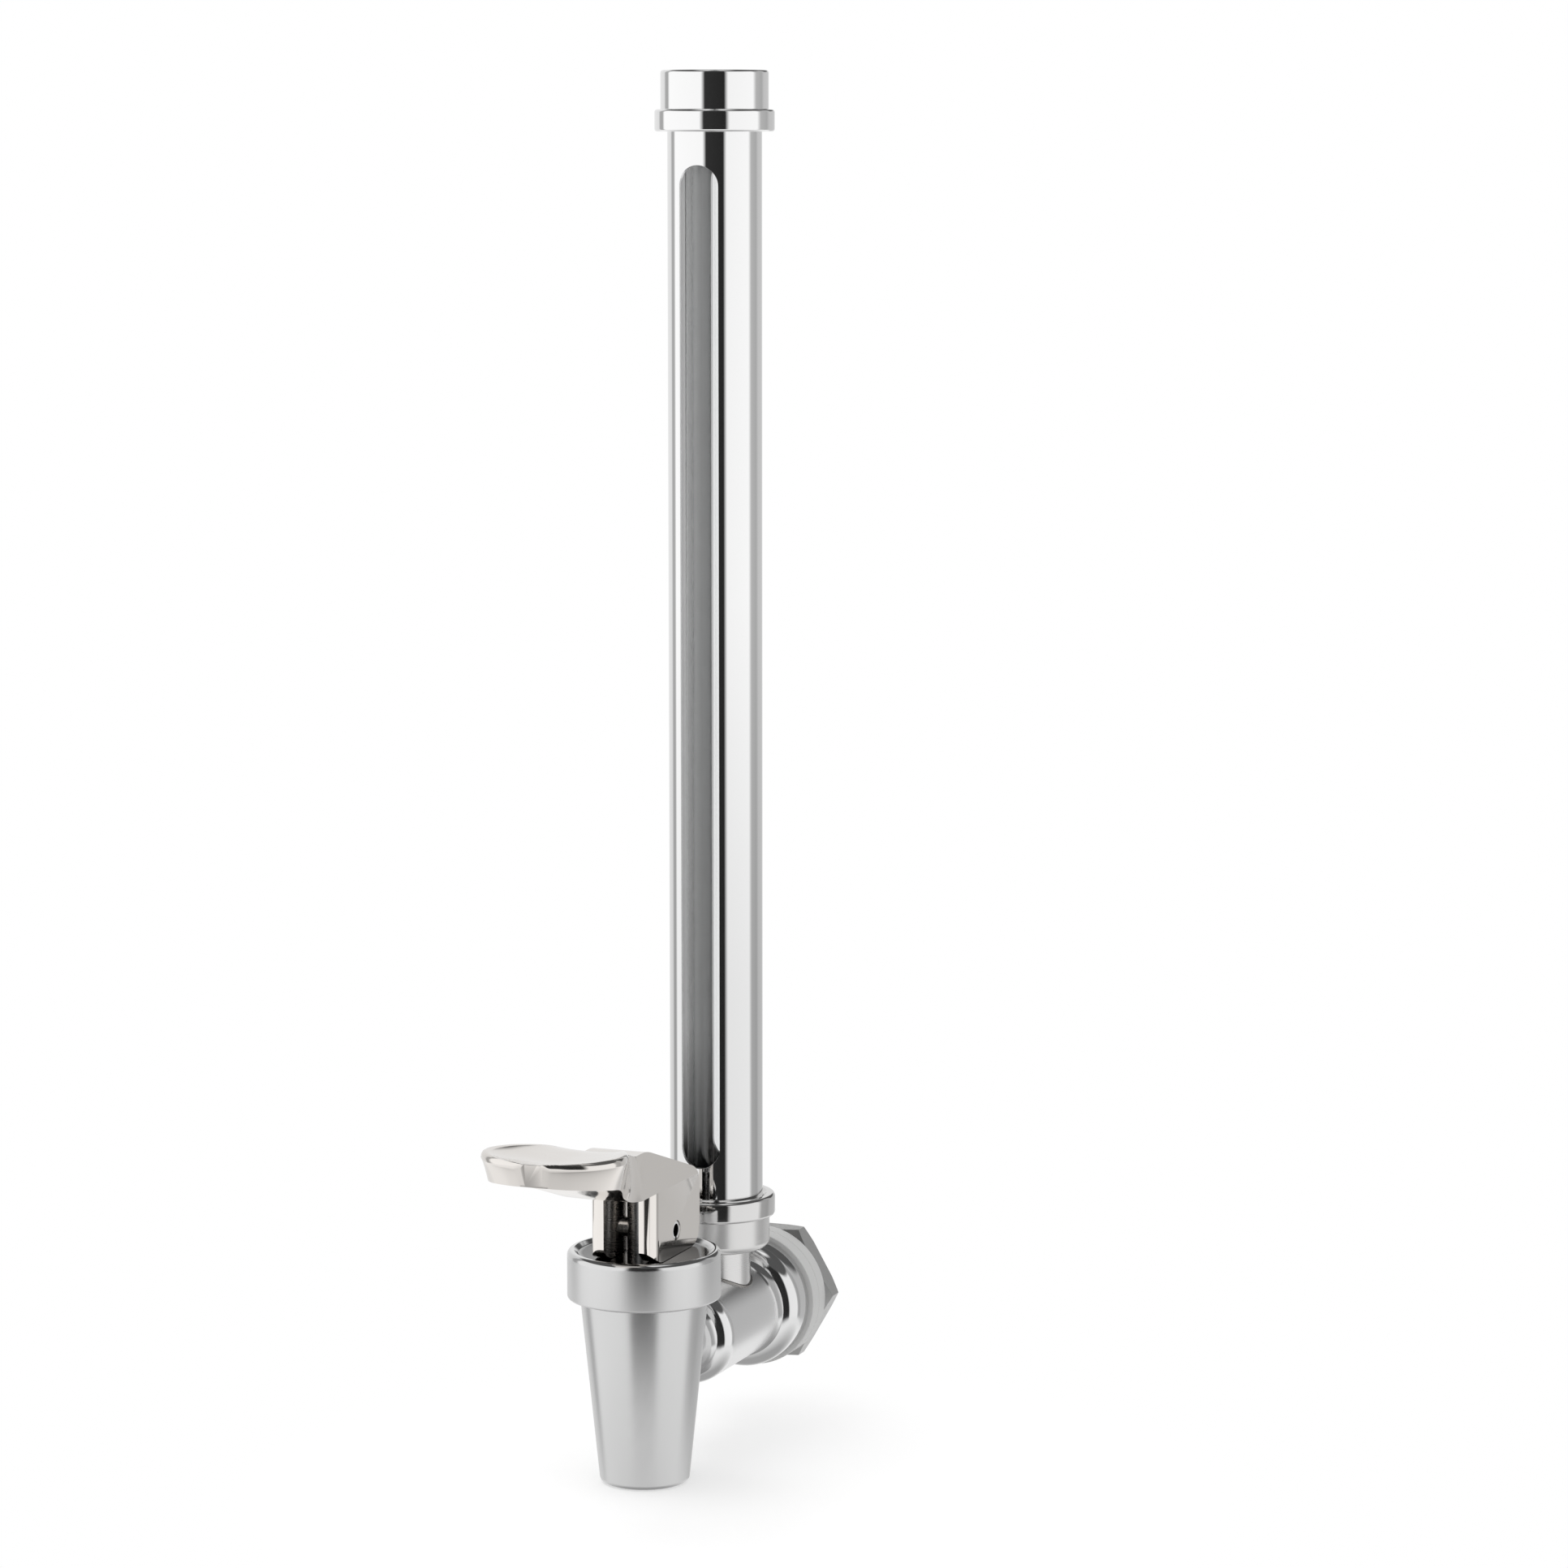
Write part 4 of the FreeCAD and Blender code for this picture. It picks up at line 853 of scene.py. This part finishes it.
ease_edges(tube, width=0.16, segments=2)
smooth_over(tube, 30)
true_normals(tube, gauge_y, flat_below=0.985)
mirror = Finish("mirror_steel", Base_Color=(0.91, 0.91, 0.905, 1), Metallic=1.0)
from_gauge = mirror.from_axis((0, gauge_y, 0), (1, 1, 0))
in_wall, out_wall = tube_radius - 0.9 * tube_wall, tube_radius - 0.2 * tube_wall
mirror.set("Roughness", mirror.change(from_gauge, in_wall, out_wall, 0.42, 0.045))
# The inside of the tube is painted darker towards its foot: painted shade down inside the tube.
lower_inside = mirror.along("Z", [(30.0, 0.12), (41.0, 0.55), (60.0, 1.1), (100.0, 1.1)])
shaded_inside = mirror.change(from_gauge, in_wall, out_wall, lower_inside, 1.0)
# Painted light: the tube's base colour is painted lighter towards the top, though the steel is
# the same all the way up.
painted_light_by_height = mirror.along("Z", [(tube_foot, 0.76), (70.0, 0.78), (150.0, 0.91)])
mirror.set("Base Color", reckon(mirror.tree, "MULTIPLY", painted_light_by_height, shaded_inside))
dress(tube, mirror.material, "tap", "shield_tube", slot="mirror_steel")


# Top cap. A turned steel cap closes the gauge over the upper seal, with a fine air hole in
# the middle; its side and rim are polished bright.

cap_foot, cap_rim_top, cap_top, cap_radius, vent_radius = 242.7, 247.1, 254.9, 10.85, 0.9
cap = turned("gauge_cap", [
    (vent_radius, cap_top, 0.15), (cap_radius, cap_top, 0.6), (cap_radius, cap_rim_top, 0.12),
    (rim_radius, cap_rim_top, 0.55), (rim_radius, cap_foot, 0.55),
    (tube_seat + lead_chamfer, cap_foot, 0.2), (tube_seat, cap_foot + lead_chamfer),
    (tube_seat, tube_head),
    (seal_radius, tube_head), (seal_radius, seal_head), (vent_radius, seal_head)],
    along=gauge_y, around=160)
dress(cap, mirror.material, "tap", "top_cap", slot="mirror_steel")


# Wall washers. Two soft rings, moulded in pale silicone, lie on the shank and seal both
# faces of the wall when the nut is tightened.

washer_radius, washer_thickness, washer_bore = 14.2, 3.5, 8.05
pale = Finish("washer_silicone", Base_Color=(0.50, 0.50, 0.495, 1), Roughness=0.6)
pale.dent(pale.grain((600, 600, 600)), 0.015, 0.4)
for number, node in enumerate(("wall_washer_outer", "wall_washer_inner")):
    start = number * washer_thickness
    washer = turned("sealing_ring_%d" % (number + 1), [
        (washer_bore, start, 0.2), (washer_radius, start, 0.25),
        (washer_radius, start + washer_thickness, 0.25),
        (washer_bore, start + washer_thickness, 0.2)], lying=True, around=128)
    dress(washer, pale.material, "tap", node, slot="silicone")


# Lock nut. A forged steel hexagon with turned corners clamps the tap to the wall; its
# faces keep the dull grain of the bar.

nut_foot, nut_thickness, flats, nut_bevel, corner_turn = 7.0, 5.0, 13.5, 0.9, 1.5
nut_head, nut_lead, bar_half = nut_foot + nut_thickness, 0.35, 20
corner = flats / math.cos(math.radians(30))
nut = turned("nut", [
    (washer_bore, nut_foot, 0.3), (corner - corner_turn, nut_foot),
    (corner + 0.01, nut_foot + nut_bevel), (corner + 0.01, nut_head - nut_bevel),
    (corner - corner_turn, nut_head), (washer_bore, nut_head, 0.3),
    *spread((washer_bore, nut_head - nut_lead), (washer_bore, nut_foot + nut_lead),
            thread_step)], lying=True, around=144)
hexagon = [(corner * math.cos(math.radians(60 * k)), corner * math.sin(math.radians(60 * k)))
           for k in range(6)]
combine(nut, prism("bar", hexagon, bar_half, "Y"), "INTERSECT")
forged = Finish("nut_steel", Base_Color=(0.50, 0.50, 0.495, 1), Metallic=1.0)
forged.vary("Roughness", 0.40, forged.grain((1500, 1500, 1500)), 0.30)
forged.dent(forged.grain((1100, 1100, 1100)), 0.03, 0.55)
nut_thread_depth, nut_thread_past = 0.8, 0.5
grow(nut, thread, forged.material, Radius=washer_bore * MM, Pitch=thread_pitch * MM,
     Depth=-nut_thread_depth * MM, From=(nut_foot - nut_thread_past) * MM,
     To=(nut_head + nut_thread_past) * MM)
smooth_over(nut, 24)
dress(nut, forged.material, "tap", "lock_nut", slot="nut_steel")


# Table, studio and camera. A white table under a wide soft light, with large white panels
# to both sides and a dark room behind the camera, which the bright steel mirrors.

table_half, table_level = 20.0, spout_end * MM - 0.0001
table_mesh = bpy.data.meshes.new("table")
table_mesh.from_pydata([
    (-table_half, -table_half, table_level), (table_half, -table_half, table_level),
    (table_half, table_half, table_level), (-table_half, table_half, table_level)],
    [], [(0, 1, 2, 3)])
table = add_piece("table", table_mesh)
table_white = bpy.data.materials.new("table_white")
table_white.use_nodes = True
tree = table_white.node_tree
tree.nodes.remove(tree.nodes["Principled BSDF"])

# Near the tap the table is matt and keeps the shadow; further out it turns plain white.
# The steel doesn't mirror it: below the horizon it mirrors the room's own greys.
ray = add_node(tree, "ShaderNodeLightPath")
matt = add_node(tree, "ShaderNodeBsdfDiffuse", {"Color": (0.97, 0.97, 0.97, 1)})
white = add_node(tree, "ShaderNodeEmission", {"Color": (1, 1, 1, 1), "Strength": 1.0})
through_it = add_node(tree, "ShaderNodeBsdfTransparent")
away = add_node(tree, "ShaderNodeVectorMath", {
    0: add_node(tree, "ShaderNodeTexCoord")["Object"], 1: (0.02, tap_y * MM, table_level)},
    operation="DISTANCE")["Value"]
fade = add_node(tree, "ShaderNodeMapRange", {0: away, 1: 0.02, 2: 0.11, 3: 0.45},
                interpolation_type="SMOOTHERSTEP")[0]
plain = add_node(tree, "ShaderNodeMixShader", {0: fade, 1: matt[0], 2: white[0]})
seen = add_node(tree, "ShaderNodeMixShader", {
    0: ray["Is Glossy Ray"], 1: plain[0], 2: through_it[0]})
tree.links.new(seen[0], tree.nodes["Material Output"].inputs[0])
table_mesh.materials.append(table_white)

# The room is drawn by the bearing from the camera's side and by the height up the sky. Only
# what mirrors sees it; all else is lit by plain white.
view_turn = math.radians(21.5)
view_across = Vector((math.cos(view_turn), math.sin(view_turn), 0))
toward_view = Vector((math.sin(view_turn), -math.cos(view_turn), 0))
world = bpy.data.worlds.new("studio")
bpy.context.scene.world = world
world.use_nodes = True
tree = world.node_tree
direction = add_node(tree, "ShaderNodeTexCoord")["Generated"]
right = add_node(tree, "ShaderNodeVectorMath", {0: direction, 1: view_across},
                 operation="DOT_PRODUCT")["Value"]
near = add_node(tree, "ShaderNodeVectorMath", {0: direction, 1: toward_view},
                operation="DOT_PRODUCT")["Value"]
up = add_node(tree, "ShaderNodeSeparateXYZ", {0: direction})[2]
bearing = reckon(tree, "MULTIPLY_ADD", reckon(tree, "ARCTAN2", right, near),
                 0.5 / math.pi, 0.5)


def around_room(stops):
    """A grey by the bearing: stops are (degrees to the right of the camera, value)."""
    return shades(tree, bearing, [((degrees + 180) / 360, value) for degrees, value in stops])


panels = around_room([
    (-180, 0.86), (-160, 0.84), (-134, 0.78), (-128, 0.42), (-118, 0.42), (-112, 1.06),
    (-29, 1.02), (-21, 0.03), (21, 0.02), (29, 0.98), (90, 1.02), (100, 0.48),
    (120, 0.42), (130, 0.56), (158, 0.60), (170, 0.84), (180, 0.86)])
gap = around_room([(-180, 0.0), (133, 0.0), (139, 1.0), (166, 1.0), (172, 0.0)])
overhead = shades(tree, up, [(0.0, 0.0), (0.52, 0.0), (0.60, 1.0), (0.91, 1.0), (0.96, 0.0)])
raised = shades(tree, up, [(0.0, 0.0), (0.15, 0.0), (0.24, 1.0), (0.56, 1.0), (0.64, 0.0)])
dark = reckon(tree, "MAXIMUM", overhead, reckon(tree, "MULTIPLY", gap, raised))
roofed = add_node(tree, "ShaderNodeMix", {
    0: dark, 6: panels, 7: (0.10, 0.10, 0.10, 1)}, data_type="RGBA")
below = add_node(tree, "ShaderNodeMapRange", {0: up, 1: -0.42, 2: -0.34})[0]
deep = add_node(tree, "ShaderNodeMapRange", {0: up, 1: -0.90, 2: -0.50, 3: 0.42, 4: 0.95})[0]
studio = add_node(tree, "ShaderNodeMix", {
    0: below, 6: deep, 7: roofed["Result"]}, data_type="RGBA")
seen_by = add_node(tree, "ShaderNodeLightPath")
shown = add_node(tree, "ShaderNodeMix", {
    0: seen_by["Is Glossy Ray"], 6: (1.0, 1.0, 1.0, 1), 7: studio["Result"]},
    data_type="RGBA")
tree.links.new(shown["Result"], tree.nodes["Background"].inputs["Color"])
tree.nodes["Background"].inputs["Strength"].default_value = 1.0

key_data = bpy.data.lights.new("key", "AREA")
key_data.energy = 2.6
key_data.size = 0.55
key = bpy.data.objects.new("key", key_data)
key.location = (-0.34, -0.10, 0.95)
key_aim = Vector((0, -0.04, 0.05))
key.rotation_euler = (key_aim - key.location).to_track_quat("-Z", "Y").to_euler()
key.visible_glossy = False
bpy.context.scene.collection.objects.link(key)

camera_data = bpy.data.cameras.new("camera")
camera_data.lens = 114.69
camera = bpy.data.objects.new("camera", camera_data)
camera.location = (0.37771, -0.95309, 0.24470)
camera_pitch, camera_turn = -7.555, 21.224
camera.rotation_euler = (math.radians(90 + camera_pitch), 0, math.radians(camera_turn))
bpy.context.scene.collection.objects.link(camera)
bpy.context.scene.camera = camera
bpy.context.scene.view_settings.view_transform = "Standard"
